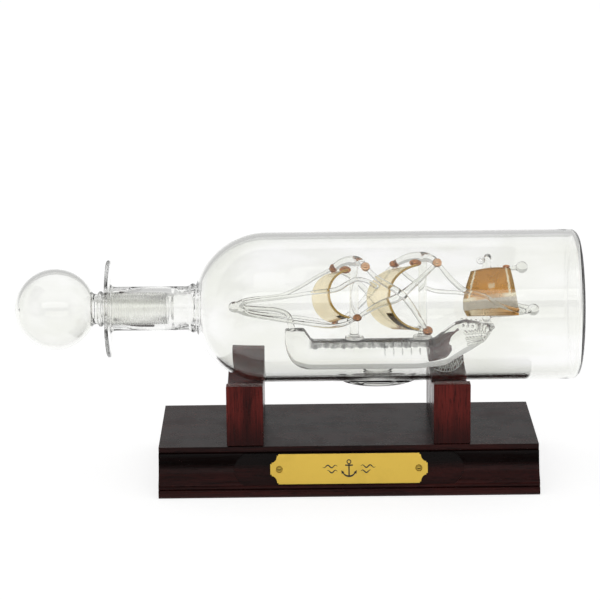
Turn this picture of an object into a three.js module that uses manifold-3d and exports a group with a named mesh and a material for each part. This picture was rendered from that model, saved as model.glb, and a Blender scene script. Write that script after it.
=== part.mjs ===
// Ship in a bottle: a lampworked glass ship fused inside a stoppered glass bottle, which lies in
// two cradles on a moulded wooden plinth with a brass nameplate.
//
// Millimetres, +Z up. X runs along the bottle with the neck at -X, and -Y is the front.
// The origin is the centre of the plinth's underside.

import * as THREE from "three";
import { mergeVertices } from "three/addons/utils/BufferGeometryUtils.js";
import Module from "manifold-3d";

const wasm = await Module();
wasm.setup();

// ---------------------------------------------------------------- driving dimensions

const GAP = 0.3;                      // between pieces that touch
const TURNED_SIDES = 32;              // flats around the bottle

const PLINTH_LENGTH = 187.5;
const PLINTH_TOP_DEPTH = 72;
const PLINTH_HEIGHT = 23.3;
const MOULDING_REACH = 10;            // how far the moulding stands out from the top edge
const TOP_STRIP = 3;                  // flat strip above the moulding
const BOTTOM_STRIP = 4;               // rounded strip below it
const TOP_STEP = 1.6;

const CRADLE_WIDTH = 18.1;
const CRADLE_UNDER_SHOULDER = 11.5;   // from the shoulder's start to the left cradle's middle
const CRADLE_PAST_BUMP = 6.4;         // from the bump under the foot to the right cradle
const CRADLE_HEIGHT = 30.7;           // from the plinth's top to the horns
const CRADLE_SEAT = 23.8;             // from the plinth's top to the lowest point of the hollow
const HORN_WIDTH = 6;

const SCREW_RADIUS = 1.9;
const SCREW_HEAD_RADIUS = 3.8;
const SCREW_SPACING = 40;             // between the two screws of one cradle
const SCREW_BITE = 15;                // length of screw inside the cradle
const SCREW_RECESS = 1.2;

const PLATE_LENGTH = 77.5;
const PLATE_THICKNESS = 0.8;
const PLATE_TAB = 5.2;                // height of the tab left between the notched corners
const PLATE_NOTCH = 2.6;
const PLATE_MARGIN = 0.6;
const PIN_SPACING = 68.7;
const PIN_RADIUS = 0.6;
const PIN_HEAD_RADIUS = 1.7;
const PIN_LENGTH = 7;

const BOTTLE_RADIUS = 37.5;
const BOTTLE_WALL = 2.2;
const BODY_LENGTH = 155.5;            // from the shoulder's start to the closed end
const END_CORNER = 4.5;
const NECK_RADIUS = 11;
const NECK_INNER_RADIUS = 8.9;
const NECK_LENGTH = 41;               // from the weld ring to the lip
const WELD_RADIUS = 12.8;
const LIP_RADIUS = 24.4;
const LIP_THICKNESS = 1.8;

const PLUG_RADIUS = 7.9;              // at its inner end
const PLUG_LENGTH = 28.5;
const PLUG_TAPER = 0.35;              // growth in radius over the plug
const PLUG_CLEARANCE = 0.3;
const BALL_RADIUS = 20.3;
const BALL_WALL = 1.6;
const STOPPER_BORE = 5;
const COLLAR_RADIUS = 10.2;
const COLLAR_WIDTH = 2.6;
const COLLAR_STANDOFF = 1.9;
const THROAT_RADIUS = 7.6;

const SHIP_BORE = 35.3;               // bore of the bottle that the ship's sizes below suit
const SHIP_CLEAR_LENGTH = 188;        // clear length of that bottle
const SHIP_ORIGIN_FROM_END = 116;     // from the ship's origin to the bottle's closed end
const FOOT_HEIGHT = 2.3;              // glass between the keel and the bottle's wall
const FOOT_LENGTH = 15;
const FOOT_WIDTH = 10;
const FOOT_X = 15.5;
const BUMP_RADII = [20, 13, 4];       // swelling of the wall under the foot
const KEEL_Z = -33;
const DECK_Z = -17;
const HULL_HALF_WIDTH = 6;
const MAST_RADIUS = 2.3;
const MAST_FOOT_RADIUS = 5.2;
const SAIL_THICKNESS = 0.9;
const SPANKER_THICKNESS = 1.7;
const UPPER_YARD_RADIUS = 2.2;
const LOWER_YARD_RADIUS = 1.2;
const UPPER_BEAD_RADIUS = 2.6;
const LOWER_BEAD_RADIUS = 2.2;
const STAY_RADIUS = 1.1;
const CROSS_STAY_RADIUS = 1.6;
const BALL_END_RADIUS = 3;
const BOW_BEAD_RADIUS = 3;

// ---------------------------------------------------------------- sizes that follow

const BORE = BOTTLE_RADIUS - BOTTLE_WALL;
const AXIS_Z = PLINTH_HEIGHT + CRADLE_SEAT + GAP + BOTTLE_RADIUS;
const SHOULDER_REACH = Math.sqrt(BOTTLE_RADIUS ** 2 - WELD_RADIUS ** 2);
const CLEAR_LENGTH = BODY_LENGTH + SHOULDER_REACH - BOTTLE_WALL;
const SHIP_SCALE = Math.min(BORE / SHIP_BORE, CLEAR_LENGTH / SHIP_CLEAR_LENGTH);
const KEEL_TO_AXIS = BORE - FOOT_HEIGHT * SHIP_SCALE;

// Both cradles are placed from the bottle's closed end, and the plinth is centred under them.
const BUMP_FROM_END = (SHIP_ORIGIN_FROM_END - FOOT_X) * SHIP_SCALE;
const LEFT_CRADLE_FROM_END = BODY_LENGTH + CRADLE_UNDER_SHOULDER;
const RIGHT_CRADLE_FROM_END =
  BUMP_FROM_END - BUMP_RADII[0] * SHIP_SCALE - CRADLE_PAST_BUMP - CRADLE_WIDTH / 2;
const BOTTLE_END_X = (LEFT_CRADLE_FROM_END + RIGHT_CRADLE_FROM_END) / 2;
const CRADLE_PLACES = [LEFT_CRADLE_FROM_END, RIGHT_CRADLE_FROM_END].map((d) => BOTTLE_END_X - d);

const SHOULDER_X = BOTTLE_END_X - BODY_LENGTH;
const WELD_X = SHOULDER_X - SHOULDER_REACH;
const WELD_WIDTH = 4;
const LIP_X = WELD_X - WELD_WIDTH - NECK_LENGTH;
const PLUG_END_X = LIP_X + PLUG_LENGTH + 1.5;

// ---------------------------------------------------------------- materials

const finish = (color, roughness, metalness) =>
  new THREE.MeshStandardMaterial({ color, roughness, metalness });

const MATERIALS = {
  mahogany: finish(0x3a1616, 0.25, 0),
  brass: finish(0xd4b44b, 0.3, 1),
  steel: finish(0x9a9a98, 0.35, 1),
  glass: finish(0xeef1ee, 0.03, 0),
  gold: finish(0xe8b45a, 0.15, 1),
};

// ---------------------------------------------------------------- geometry helpers

const point = (x, y, z) => new THREE.Vector3(x, y, z);

// A closed three.js geometry as a solid that can be joined and cut.
function toSolid(geometry) {
  const bare = geometry.clone();
  bare.deleteAttribute("normal");
  bare.deleteAttribute("uv");
  const merged = mergeVertices(bare, 1e-4);
  const index = merged.index.array;
  const triangles = [];
  for (let i = 0; i < index.length; i += 3) {
    const [a, b, c] = [index[i], index[i + 1], index[i + 2]];
    if (a !== b && b !== c && c !== a) triangles.push(a, b, c);
  }
  const vertProperties = new Float32Array(merged.attributes.position.array);
  const mesh = new wasm.Mesh({ numProp: 3, vertProperties, triVerts: new Uint32Array(triangles) });
  return new wasm.Manifold(mesh);
}

function toGeometry(solid) {
  const mesh = solid.getMesh();
  const geometry = new THREE.BufferGeometry();
  geometry.setAttribute("position", new THREE.BufferAttribute(mesh.vertProperties, 3));
  geometry.setIndex(new THREE.BufferAttribute(mesh.triVerts, 1));
  geometry.computeVertexNormals();
  return geometry;
}

function join(first, ...others) {
  const sum = others.reduce((solid, other) => solid.add(toSolid(other)), toSolid(first));
  return toGeometry(sum);
}

function cut(first, ...tools) {
  const rest = tools.reduce((solid, tool) => solid.subtract(toSolid(tool)), toSolid(first));
  return toGeometry(rest);
}

function common(first, ...others) {
  const kept = others.reduce((solid, other) => solid.intersect(toSolid(other)), toSolid(first));
  return toGeometry(kept);
}

function shapeOf(outline) {
  return new THREE.Shape(outline.map(([x, y]) => new THREE.Vector2(x, y)));
}

// An outline in the Y-Z plane, extruded along X and centred on x.
function alongX(outline, length, x = 0) {
  const shape = Array.isArray(outline) ? shapeOf(outline) : outline;
  const options = { depth: length, bevelEnabled: false, curveSegments: 10 };
  const geometry = new THREE.ExtrudeGeometry(shape, options);
  const axes = new THREE.Matrix4().makeBasis(point(0, 1, 0), point(0, 0, 1), point(1, 0, 0));
  return geometry.applyMatrix4(axes).translate(x - length / 2, 0, 0);
}

// An outline in the X-Z plane, extruded along Y and centred on y.
function alongY(outline, width, y = 0) {
  const geometry = new THREE.ExtrudeGeometry(shapeOf(outline), { depth: width, bevelEnabled: false });
  const axes = new THREE.Matrix4().makeBasis(point(1, 0, 0), point(0, 0, 1), point(0, -1, 0));
  return geometry.applyMatrix4(axes).translate(0, y + width / 2, 0);
}

// An outline in the X-Y plane, extruded upwards from z.
function upwards(outline, height, z) {
  const geometry = new THREE.ExtrudeGeometry(shapeOf(outline), { depth: height, bevelEnabled: false });
  return geometry.translate(0, 0, z);
}

// A profile of [along, radius] pairs, whose outer side is listed towards +X, turned around X.
function turnedX(profile, segments) {
  const points = profile.map(([along, radius]) => new THREE.Vector2(radius, along));
  return new THREE.LatheGeometry(points, segments).rotateZ(-Math.PI / 2);
}

// A profile of [height, radius] pairs turned around the Z axis.
function turnedZ(profile, segments) {
  const points = profile.map(([height, radius]) => new THREE.Vector2(radius, height));
  return new THREE.LatheGeometry(points, segments).rotateX(Math.PI / 2);
}

function arc(centreAlong, centreRadius, radius, from, to, steps) {
  const points = [];
  for (let i = 0; i <= steps; i += 1) {
    const angle = from + ((to - from) * i) / steps;
    points.push([centreAlong + radius * Math.cos(angle), centreRadius + radius * Math.sin(angle)]);
  }
  return points;
}

function ball(centre, radius, segments = 10) {
  const sphere = new THREE.SphereGeometry(radius, segments, Math.round(segments * 0.66));
  return sphere.translate(centre.x, centre.y, centre.z);
}

// A round rod through a list of points.
function rod(points, radius, steps = 12, sides = 8) {
  const section = new THREE.Shape();
  section.absarc(0, 0, radius, 0, Math.PI * 2, false);
  const path = new THREE.CatmullRomCurve3(points, false, "centripetal");
  const options = { extrudePath: path, steps, bevelEnabled: false, curveSegments: sides / 2 };
  return new THREE.ExtrudeGeometry(section, options);
}

// The same points with both ends pulled back along the path.
function shortened(points, startBy, endBy) {
  const path = points.map((p) => p.clone());
  const last = path.length - 1;
  path[0].add(path[1].clone().sub(path[0]).setLength(startBy));
  path[last].add(path[last - 1].clone().sub(path[last]).setLength(endBy));
  return path;
}

function piece(parent, name, geometry, material) {
  const mesh = new THREE.Mesh(geometry, MATERIALS[material]);
  mesh.name = name;
  parent.add(mesh);
  return mesh;
}

// ---------------------------------------------------------------- plinth

const TOP_HALF = PLINTH_TOP_DEPTH / 2;
const FOOT_HALF = TOP_HALF + MOULDING_REACH;
const MOULDING_TOP = PLINTH_HEIGHT - TOP_STRIP;

// The flat facet that the nameplate lies on, as a line in the Y-Z plane from foot to top.
const FACET_FOOT = point(0, -(FOOT_HALF - 4), BOTTOM_STRIP + 0.9);
const FACET_TOP = point(0, -(TOP_HALF + 0.3), MOULDING_TOP - 0.4);
const FACET_RISE = FACET_TOP.clone().sub(FACET_FOOT);
const FACET_HEIGHT = FACET_RISE.length();
const FACET_TILT = Math.atan2(FACET_RISE.z, FACET_RISE.y);
const FACET_HALF_LENGTH = PLATE_LENGTH / 2 + 13;
const PLATE_HEIGHT = FACET_HEIGHT - 2 * PLATE_MARGIN;

// One side of the moulding, from the top edge down to the underside.
function mouldingSide() {
  const outer = FOOT_HALF;
  const side = new THREE.Path();
  side.moveTo(TOP_HALF, PLINTH_HEIGHT);
  side.lineTo(TOP_HALF, MOULDING_TOP);
  side.lineTo(TOP_HALF + TOP_STEP, MOULDING_TOP);
  side.lineTo(TOP_HALF + TOP_STEP, MOULDING_TOP - 0.7);
  side.quadraticCurveTo(TOP_HALF + 2.9, BOTTOM_STRIP + 6.5, outer - 2.6, BOTTOM_STRIP + 3.6);
  side.quadraticCurveTo(outer - 1, BOTTOM_STRIP + 3, outer - 1, BOTTOM_STRIP + 0.6);
  side.lineTo(outer - 1.8, BOTTOM_STRIP + 0.6);
  side.lineTo(outer - 1.8, BOTTOM_STRIP);
  side.lineTo(outer - 1, BOTTOM_STRIP);
  side.quadraticCurveTo(outer, BOTTOM_STRIP, outer, BOTTOM_STRIP - 1.4);
  side.lineTo(outer, 1);
  side.lineTo(outer - 0.8, 0);
  return side.getPoints(5).map((p) => [p.x, p.y]);
}

// A frame on the facet: X along it, Y up it, Z out of the wood.
function onFacet(object) {
  object.rotation.x = FACET_TILT;
  object.position.copy(FACET_FOOT).addScaledVector(FACET_RISE, 0.5);
  object.updateMatrixWorld();
  return object;
}

// What the facet takes off the moulding: a slab whose ends are bowed outwards.
function facetCutter() {
  const half = FACET_HEIGHT / 2;
  const bow = 5;
  const slab = new THREE.Shape();
  slab.moveTo(-FACET_HALF_LENGTH, -half);
  slab.lineTo(FACET_HALF_LENGTH, -half);
  slab.quadraticCurveTo(FACET_HALF_LENGTH + 2 * bow, 0, FACET_HALF_LENGTH, half);
  slab.lineTo(-FACET_HALF_LENGTH, half);
  slab.quadraticCurveTo(-FACET_HALF_LENGTH - 2 * bow, 0, -FACET_HALF_LENGTH, -half);
  const options = { depth: MOULDING_REACH, bevelEnabled: false, curveSegments: 8 };
  const block = new THREE.ExtrudeGeometry(slab, options);
  return block.applyMatrix4(onFacet(new THREE.Object3D()).matrixWorld);
}

const screwPlaces = CRADLE_PLACES.flatMap((x) => [-1, 1].map((side) => [x, (side * SCREW_SPACING) / 2]));

// A countersunk screw pointing up, or the hole for it when it is grown by a gap.
function screwBody(grow) {
  const coneHeight = SCREW_HEAD_RADIUS - SCREW_RADIUS;
  const top = PLINTH_HEIGHT + SCREW_BITE + grow;
  const head = SCREW_HEAD_RADIUS + grow;
  const shank = SCREW_RADIUS + grow;
  const bottom = grow > 0 ? -1 : SCREW_RECESS;
  const cone = SCREW_RECESS + coneHeight + 0.8 + grow;
  const profile = [[bottom, 0], [bottom, head], [SCREW_RECESS + 0.8 + grow, head], [cone, shank]];
  profile.push([top - 3, shank], [top, 0.3 + grow], [top, 0]);
  return turnedZ(profile, 12);
}

function pinBody(grow) {
  const head = PLATE_THICKNESS + GAP * 2;
  const shank = PIN_RADIUS + grow;
  const profile = [[-PIN_LENGTH - grow, 0], [-PIN_LENGTH - grow, shank]];
  if (grow > 0) profile.push([head, shank], [head, 0]);
  else profile.push([head, shank], [head, PIN_HEAD_RADIUS], [head + 0.7, 1.3], [head + 1, 0]);
  return turnedZ(profile, 12);
}

function addPlinth(stand) {
  const side = mouldingSide();
  const back = side.map(([y, z]) => [-y, z]).reverse();
  const block = alongX([...side, ...back].reverse(), PLINTH_LENGTH);
  const screwHoles = screwPlaces.map(([x, y]) => screwBody(GAP).translate(x, y, 0));
  const facet = onFacet(new THREE.Object3D()).matrixWorld;
  const pinHoles = [-1, 1].map((end) =>
    pinBody(GAP).translate((end * PIN_SPACING) / 2, 0, 0).applyMatrix4(facet));
  piece(stand, "plinth", cut(block, facetCutter(), ...screwHoles, ...pinHoles), "mahogany");
}

// ---------------------------------------------------------------- cradles and screws

function cradleOutline() {
  const halfChord = TOP_HALF - HORN_WIDTH;
  const depth = CRADLE_HEIGHT - CRADLE_SEAT;
  const radius = (halfChord ** 2 + depth ** 2) / (2 * depth);
  const centreZ = PLINTH_HEIGHT + CRADLE_SEAT + radius;
  const half = Math.asin(halfChord / radius);
  const hollow = arc(0, centreZ, radius, -Math.PI / 2 + half, -Math.PI / 2 - half, 18);
  const horn = PLINTH_HEIGHT + CRADLE_HEIGHT;
  const foot = PLINTH_HEIGHT + GAP;
  return [[-TOP_HALF, foot], [TOP_HALF, foot], [TOP_HALF, horn], ...hollow, [-TOP_HALF, horn]];
}

function addCradles(stand) {
  const names = ["left_cradle", "right_cradle"];
  names.forEach((name, i) => {
    const x = CRADLE_PLACES[i];
    const block = alongX(cradleOutline(), CRADLE_WIDTH, x);
    const holes = screwPlaces.filter(([screwX]) => screwX === x);
    const tools = holes.map(([screwX, y]) => screwBody(GAP).translate(screwX, y, 0));
    piece(stand, name, cut(block, ...tools), "mahogany");
  });
}

function addScrews(stand) {
  screwPlaces.forEach(([x, y], i) => {
    piece(stand, `cradle_screw_${i + 1}`, screwBody(0).translate(x, y, 0), "steel");
  });
}

// ---------------------------------------------------------------- nameplate

// The plate's outline: a rectangle whose corners are cut by a quarter circle and a small step.
function plateShape() {
  const step = 0.7;
  const halfTab = PLATE_TAB / 2;
  const halfHeight = PLATE_HEIGHT / 2;
  const halfLength = PLATE_LENGTH / 2;
  const quarter = [];
  quarter.push([halfLength, halfTab], [halfLength - step, halfTab]);
  quarter.push([halfLength - step, halfTab + step]);
  const reach = halfHeight - halfTab - 2 * step;
  for (let i = 0; i <= 5; i += 1) {
    const angle = (Math.PI / 2) * (i / 5);
    const x = halfLength - step - PLATE_NOTCH * Math.sin(angle);
    quarter.push([x, halfTab + step + reach * (1 - Math.cos(angle))]);
  }
  quarter.push([halfLength - 2 * step - PLATE_NOTCH, halfHeight - step]);
  quarter.push([halfLength - 2 * step - PLATE_NOTCH, halfHeight]);
  const left = quarter.map(([x, y]) => [-x, y]).reverse();
  const top = [...quarter, ...left];
  const bottom = top.map(([x, y]) => [x, -y]).reverse();
  return shapeOf([...top, ...bottom]);
}

function addNameplate(stand) {
  const mount = onFacet(new THREE.Group());
  stand.add(mount);
  const sheet = new THREE.ExtrudeGeometry(plateShape(), { depth: PLATE_THICKNESS, bevelEnabled: false });
  sheet.translate(0, 0, GAP);
  const places = [-1, 1].map((end) => (end * PIN_SPACING) / 2);
  const holes = places.map((x) => pinBody(GAP).translate(x, 0, 0));
  piece(mount, "nameplate", cut(sheet, ...holes), "brass");
  piece(mount, "nameplate_pin_left", pinBody(0).translate(places[0], 0, 0), "brass");
  piece(mount, "nameplate_pin_right", pinBody(0).translate(places[1], 0, 0), "brass");
}

// ---------------------------------------------------------------- bottle

const plugRadiusAt = (x) => PLUG_RADIUS + (PLUG_TAPER * (PLUG_END_X - x)) / PLUG_LENGTH;

function bottleProfile() {
  const innerShoulder = BORE;
  const weldAngle = Math.PI - Math.asin(WELD_RADIUS / BOTTLE_RADIUS);
  const innerAngle = Math.PI - Math.asin(NECK_INNER_RADIUS / innerShoulder);
  const innerCorner = END_CORNER - BOTTLE_WALL;
  const quarter = Math.PI / 2;
  const cornerX = BOTTLE_END_X - END_CORNER;
  const ringX = WELD_X - WELD_WIDTH / 2;
  const seat = plugRadiusAt(LIP_X) + PLUG_CLEARANCE;
  const socketEnd = PLUG_END_X + 2;
  return [
    [BOTTLE_END_X, 0],
    ...arc(cornerX, BOTTLE_RADIUS - END_CORNER, END_CORNER, 0, quarter, 3),
    ...arc(SHOULDER_X, 0, BOTTLE_RADIUS, quarter, weldAngle, 9),
    [ringX, WELD_RADIUS + 0.3],
    [WELD_X - WELD_WIDTH, WELD_RADIUS - 0.6],
    [WELD_X - WELD_WIDTH - 1, NECK_RADIUS],
    [LIP_X + LIP_THICKNESS + 1.5, NECK_RADIUS],
    [LIP_X + LIP_THICKNESS, NECK_RADIUS + 1.5],
    [LIP_X + LIP_THICKNESS, LIP_RADIUS - 0.5],
    [LIP_X + LIP_THICKNESS / 2, LIP_RADIUS],
    [LIP_X, LIP_RADIUS - 0.5],
    [LIP_X, seat],
    [socketEnd, plugRadiusAt(socketEnd) + PLUG_CLEARANCE],
    [socketEnd + 1.5, NECK_INNER_RADIUS],
    ...arc(SHOULDER_X, 0, innerShoulder, innerAngle, quarter, 8),
    ...arc(cornerX, BORE - innerCorner, innerCorner, quarter, 0, 2),
    [BOTTLE_END_X - BOTTLE_WALL, 0],
  ];
}

function addBottle(parent) {
  const glass = turnedX(bottleProfile().reverse(), TURNED_SIDES);
  const bump = new THREE.SphereGeometry(1, 20, 12).scale(...BUMP_RADII.map((r) => r * SHIP_SCALE));
  bump.translate(BOTTLE_END_X - BUMP_FROM_END, 0, 1 - BOTTLE_RADIUS);
  const borePath = [[-BODY_LENGTH, 0], [-BODY_LENGTH, BORE], [BODY_LENGTH, BORE], [BODY_LENGTH, 0]];
  const swelling = toSolid(bump).subtract(toSolid(turnedX(borePath, TURNED_SIDES)));
  piece(parent, "bottle", toGeometry(toSolid(glass).add(swelling)), "glass");
}

// ---------------------------------------------------------------- stopper

function addStopper(parent) {
  const collarX = LIP_X - COLLAR_STANDOFF;
  const throatX = collarX - COLLAR_WIDTH;
  const throatReach = 2.5;
  const outerAngle = Math.asin(THROAT_RADIUS / BALL_RADIUS);
  const centreX = throatX - throatReach - BALL_RADIUS * Math.cos(outerAngle);
  const inner = BALL_RADIUS - BALL_WALL;
  const innerAngle = Math.asin(STOPPER_BORE / inner);
  const plugStart = PLUG_END_X - PLUG_LENGTH;
  const profile = [
    [PLUG_END_X, STOPPER_BORE],
    [PLUG_END_X, PLUG_RADIUS - 0.5],
    [PLUG_END_X - 0.5, PLUG_RADIUS],
    [plugStart, plugRadiusAt(plugStart)],
    [plugStart - 0.5, THROAT_RADIUS],
    [collarX, THROAT_RADIUS],
    [collarX, COLLAR_RADIUS - 0.6],
    [collarX - COLLAR_WIDTH / 2, COLLAR_RADIUS],
    [throatX, COLLAR_RADIUS - 0.6],
    [throatX, THROAT_RADIUS],
    ...arc(centreX, 0, BALL_RADIUS, outerAngle, Math.PI, 10),
    ...arc(centreX, 0, inner, Math.PI, innerAngle, 7),
    [PLUG_END_X, STOPPER_BORE],
  ];
  piece(parent, "stopper", turnedX(profile.reverse(), 24), "glass");
}

// ---------------------------------------------------------------- the ship's hull

const FORECASTLE_Z = -11;
const BOW_X = -31;
const QUARTERDECK_X = 44;
const HULL_STERN_TOP = [54, -9.6];
const HULL_STERN_FOOT = [58.5, -25.5];

function addHull(ship) {
  const side = alongY([
    [BOW_X, -20], [BOW_X + 1.2, -28], [BOW_X + 5, KEEL_Z], [36, KEEL_Z], [50, KEEL_Z + 1.8],
    HULL_STERN_FOOT, HULL_STERN_TOP, [50, -12], [QUARTERDECK_X, DECK_Z],
    [BOW_X + 13.5, DECK_Z], [BOW_X + 9.5, FORECASTLE_Z], [BOW_X, FORECASTLE_Z],
  ], 4 * HULL_HALF_WIDTH);
  const half = HULL_HALF_WIDTH;
  const plan = upwards([
    [BOW_X - 1, -2.4], [BOW_X + 5, -4.4], [BOW_X + 16, -half], [44, -half], [60, -half + 1.2],
    [60, half - 1.2], [44, half], [BOW_X + 16, half], [BOW_X + 5, 4.4], [BOW_X - 1, 2.4],
  ], 40, KEEL_Z - 5);
  const bilge = alongX([
    [-half, 0], [-half, -22], [-half + 0.8, -27], [-half + 2.6, -31], [-1.6, KEEL_Z],
    [1.6, KEEL_Z], [half - 2.6, -31], [half - 0.8, -27], [half, -22], [half, 0],
  ], 120, 14);
  piece(ship, "hull", common(side, plan, bilge), "glass");
}

function addSternGallery(ship) {
  const [topX, topZ] = HULL_STERN_TOP;
  const [footX] = HULL_STERN_FOOT;
  const shift = GAP + 0.1;
  const outline = [
    [topX + shift, topZ + 0.8], [topX + 5.5, topZ + 2.1], [74.2, topZ - 0.8], [69.6, -18.4],
    [61.7, -23.8], [footX + shift, -23.6],
  ];
  piece(ship, "stern_gallery", alongY(outline.reverse(), 2 * HULL_HALF_WIDTH - 1), "glass");
}

// The stem of glass that fuses the keel to the bottle: its underside follows the bore.
function addShipFoot(ship) {
  const top = KEEL_Z - GAP;
  const block = new THREE.BoxGeometry(FOOT_LENGTH, FOOT_WIDTH, 8).translate(FOOT_X, 0, top - 4);
  const radius = (BORE * Math.cos(Math.PI / TURNED_SIDES)) / SHIP_SCALE - GAP;
  const centre = KEEL_Z + KEEL_TO_AXIS / SHIP_SCALE;
  const profile = [[-60, 0], [-60, radius], [60, radius], [60, 0]];
  const bore = turnedX(profile, 3 * TURNED_SIDES).translate(0, 0, centre);
  piece(ship, "ship_foot", common(block, bore), "glass");
}

// ---------------------------------------------------------------- masts, yards and sails

const FOREMAST_X = 3.8;
const MAINMAST_X = 38;
const MIZZEN_X = 70;
const MIZZEN_FOOT_Z = -8.4;
const MIZZEN_TOP_Z = 23.6;

// Each yard runs from its far end through its middle to its near end.
const FORE_UPPER = [point(-6.5, 8.5, 17.5), point(3, 0, 23.4), point(9.3, -9.5, 22.3)];
const MAIN_UPPER = [point(24.3, 9.5, 19.3), point(36.6, 0, 25), point(44.8, -10, 24)];
const FORE_LOWER = [point(-5.5, 7.5, -11), point(0, 0, -7.5), point(5.2, -7.5, -4)];
const MAIN_LOWER = [point(27.5, 9.5, -13.2), point(34, 0, -12), point(40.2, -9, -10.7)];

const FORE_SAIL = {
  topX: 0.5, topZ: 20, footX: 1, footZ: -4.2, halfWidth: 6, belly: 9.6,
  slant: -8.2, topDrop: -4.6, footDrop: -5.6,
};
const MAIN_SAIL = {
  topX: 34.6, topZ: 22.2, footX: 35.6, footZ: -10.6, halfWidth: 7, belly: 14,
  slant: -10.6, topDrop: -5, footDrop: -3.4,
};

function mastGeometry(x, footZ, topZ) {
  const foot = footZ + GAP;
  const profile = [[foot, 0], [foot, MAST_FOOT_RADIUS], [foot + 1, MAST_FOOT_RADIUS]];
  profile.push([foot + 2, MAST_RADIUS], [topZ - 0.8, MAST_RADIUS], [topZ, MAST_RADIUS - 0.8], [topZ, 0]);
  return turnedZ(profile, 14).translate(x, 0, 0);
}

// A mast stops under its upper yard, and its lower yard lies in a notch across its front.
function addMasts(ship) {
  const underYard = (yard) => yard[1].z - UPPER_YARD_RADIUS - GAP - 0.5;
  const notch = (yard) => rod(yard, LOWER_YARD_RADIUS + GAP, 6, 8);
  const fore = mastGeometry(FOREMAST_X, DECK_Z, underYard(FORE_UPPER));
  const main = mastGeometry(MAINMAST_X, DECK_Z, underYard(MAIN_UPPER));
  piece(ship, "foremast", cut(fore, notch(FORE_LOWER)), "glass");
  piece(ship, "mainmast", cut(main, notch(MAIN_LOWER)), "glass");
  const head = MAST_RADIUS;
  const mizzen = [[MIZZEN_FOOT_Z, 0], [MIZZEN_FOOT_Z, head], [MIZZEN_TOP_Z - 1.4, head]];
  mizzen.push([MIZZEN_TOP_Z - 0.5, head - 0.7], [MIZZEN_TOP_Z, 0]);
  piece(ship, "mizzenmast", turnedZ(mizzen, 14).translate(MIZZEN_X, 0, 0), "glass");
}

function yardGeometry(yard, radius, beadRadius) {
  return join(rod(yard, radius, 7), ball(yard[0], beadRadius), ball(yard[2], beadRadius));
}

function addYards(ship) {
  piece(ship, "fore_upper_yard", yardGeometry(FORE_UPPER, UPPER_YARD_RADIUS, UPPER_BEAD_RADIUS), "glass");
  piece(ship, "main_upper_yard", yardGeometry(MAIN_UPPER, UPPER_YARD_RADIUS, UPPER_BEAD_RADIUS), "glass");
  piece(ship, "fore_lower_yard", yardGeometry(FORE_LOWER, LOWER_YARD_RADIUS, LOWER_BEAD_RADIUS), "glass");
  piece(ship, "main_lower_yard", yardGeometry(MAIN_LOWER, LOWER_YARD_RADIUS, LOWER_BEAD_RADIUS), "glass");
}

// A square sail: a strip bowed towards the bow, swept from its near edge to its far edge.
function sailGeometry({ topX, topZ, footX, footZ, halfWidth, belly, slant, topDrop, footDrop }) {
  const reach = (belly * 4) / 3;
  const height = topZ - footZ;
  const curve = new THREE.CubicBezierCurve(
    new THREE.Vector2(topX, topZ),
    new THREE.Vector2(topX - reach, topZ - height * 0.12),
    new THREE.Vector2(footX - reach, footZ + height * 0.12),
    new THREE.Vector2(footX, footZ),
  );
  const front = [];
  const back = [];
  for (let i = 0; i <= 14; i += 1) {
    const at = curve.getPoint(i / 14);
    const along = curve.getTangent(i / 14);
    const side = new THREE.Vector2(along.y, -along.x).multiplyScalar(SAIL_THICKNESS / 2);
    front.push(at.clone().add(side));
    back.unshift(at.clone().sub(side));
  }
  const shape = new THREE.Shape([...front, ...back]);
  const geometry = new THREE.ExtrudeGeometry(shape, { depth: 1, bevelEnabled: false });
  const position = geometry.attributes.position;
  for (let i = 0; i < position.count; i += 1) {
    const [x, z, far] = [position.getX(i), position.getY(i), 1 - position.getZ(i)];
    const drop = THREE.MathUtils.lerp(footDrop, topDrop, (z - footZ) / height);
    position.setXYZ(i, x + slant * far, halfWidth * (2 * far - 1), z + drop * far);
  }
  return geometry;
}

const SPANKER_BACK_Y = -(MAST_RADIUS + GAP);

function addSails(ship) {
  piece(ship, "fore_sail", sailGeometry(FORE_SAIL), "gold");
  piece(ship, "main_sail", sailGeometry(MAIN_SAIL), "gold");
  const outline = [
    [57.8, -3.4], [60, -4.9], [74, -5.1], [86, -4.6], [85.6, 0], [81.8, 19.4], [78, 20.8],
    [66, 19.7], [61.8, 18], [58, 3],
  ];
  const sheet = alongY(outline, SPANKER_THICKNESS, SPANKER_BACK_Y - SPANKER_THICKNESS / 2);
  piece(ship, "spanker_sail", sheet, "gold");
}

// The gaff and boom lie behind the spanker and end in clear balls past its after edge.
const SPAR_Y = -1;
const GAFF_BALL = point(87.4, SPAR_Y, 19.2);
const BOOM_BALL = point(93.4, SPAR_Y, -2.6);

function addSpars(ship) {
  const start = MIZZEN_X + MAST_RADIUS + GAP + 0.4;
  const gaff = [point(start, SPAR_Y, 18), point(80, SPAR_Y, 18.6), GAFF_BALL];
  const boom = [point(start, SPAR_Y, -5), point(84, SPAR_Y, -4.6), BOOM_BALL];
  piece(ship, "gaff", join(rod(gaff, STAY_RADIUS, 6), ball(GAFF_BALL, BALL_END_RADIUS)), "glass");
  piece(ship, "boom", join(rod(boom, STAY_RADIUS, 6), ball(BOOM_BALL, BALL_END_RADIUS)), "glass");
}

// ---------------------------------------------------------------- bowsprit and stays

const BOW_BEAD = point(-56, 0, 0.2);
const STAY_START_X = BOW_BEAD.x + BOW_BEAD_RADIUS + GAP + 0.4;

function addBowsprit(ship) {
  const foot = FORECASTLE_Z + GAP + 0.5;
  const path = [BOW_BEAD, point(-46, 0, -0.6), point(-35, 0, -1.6), point(-29.5, 0, -4)];
  path.push(point(-27.5, 0, foot));
  piece(ship, "bowsprit", join(rod(path, 1.2, 10), ball(BOW_BEAD, BOW_BEAD_RADIUS)), "glass");
}

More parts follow.
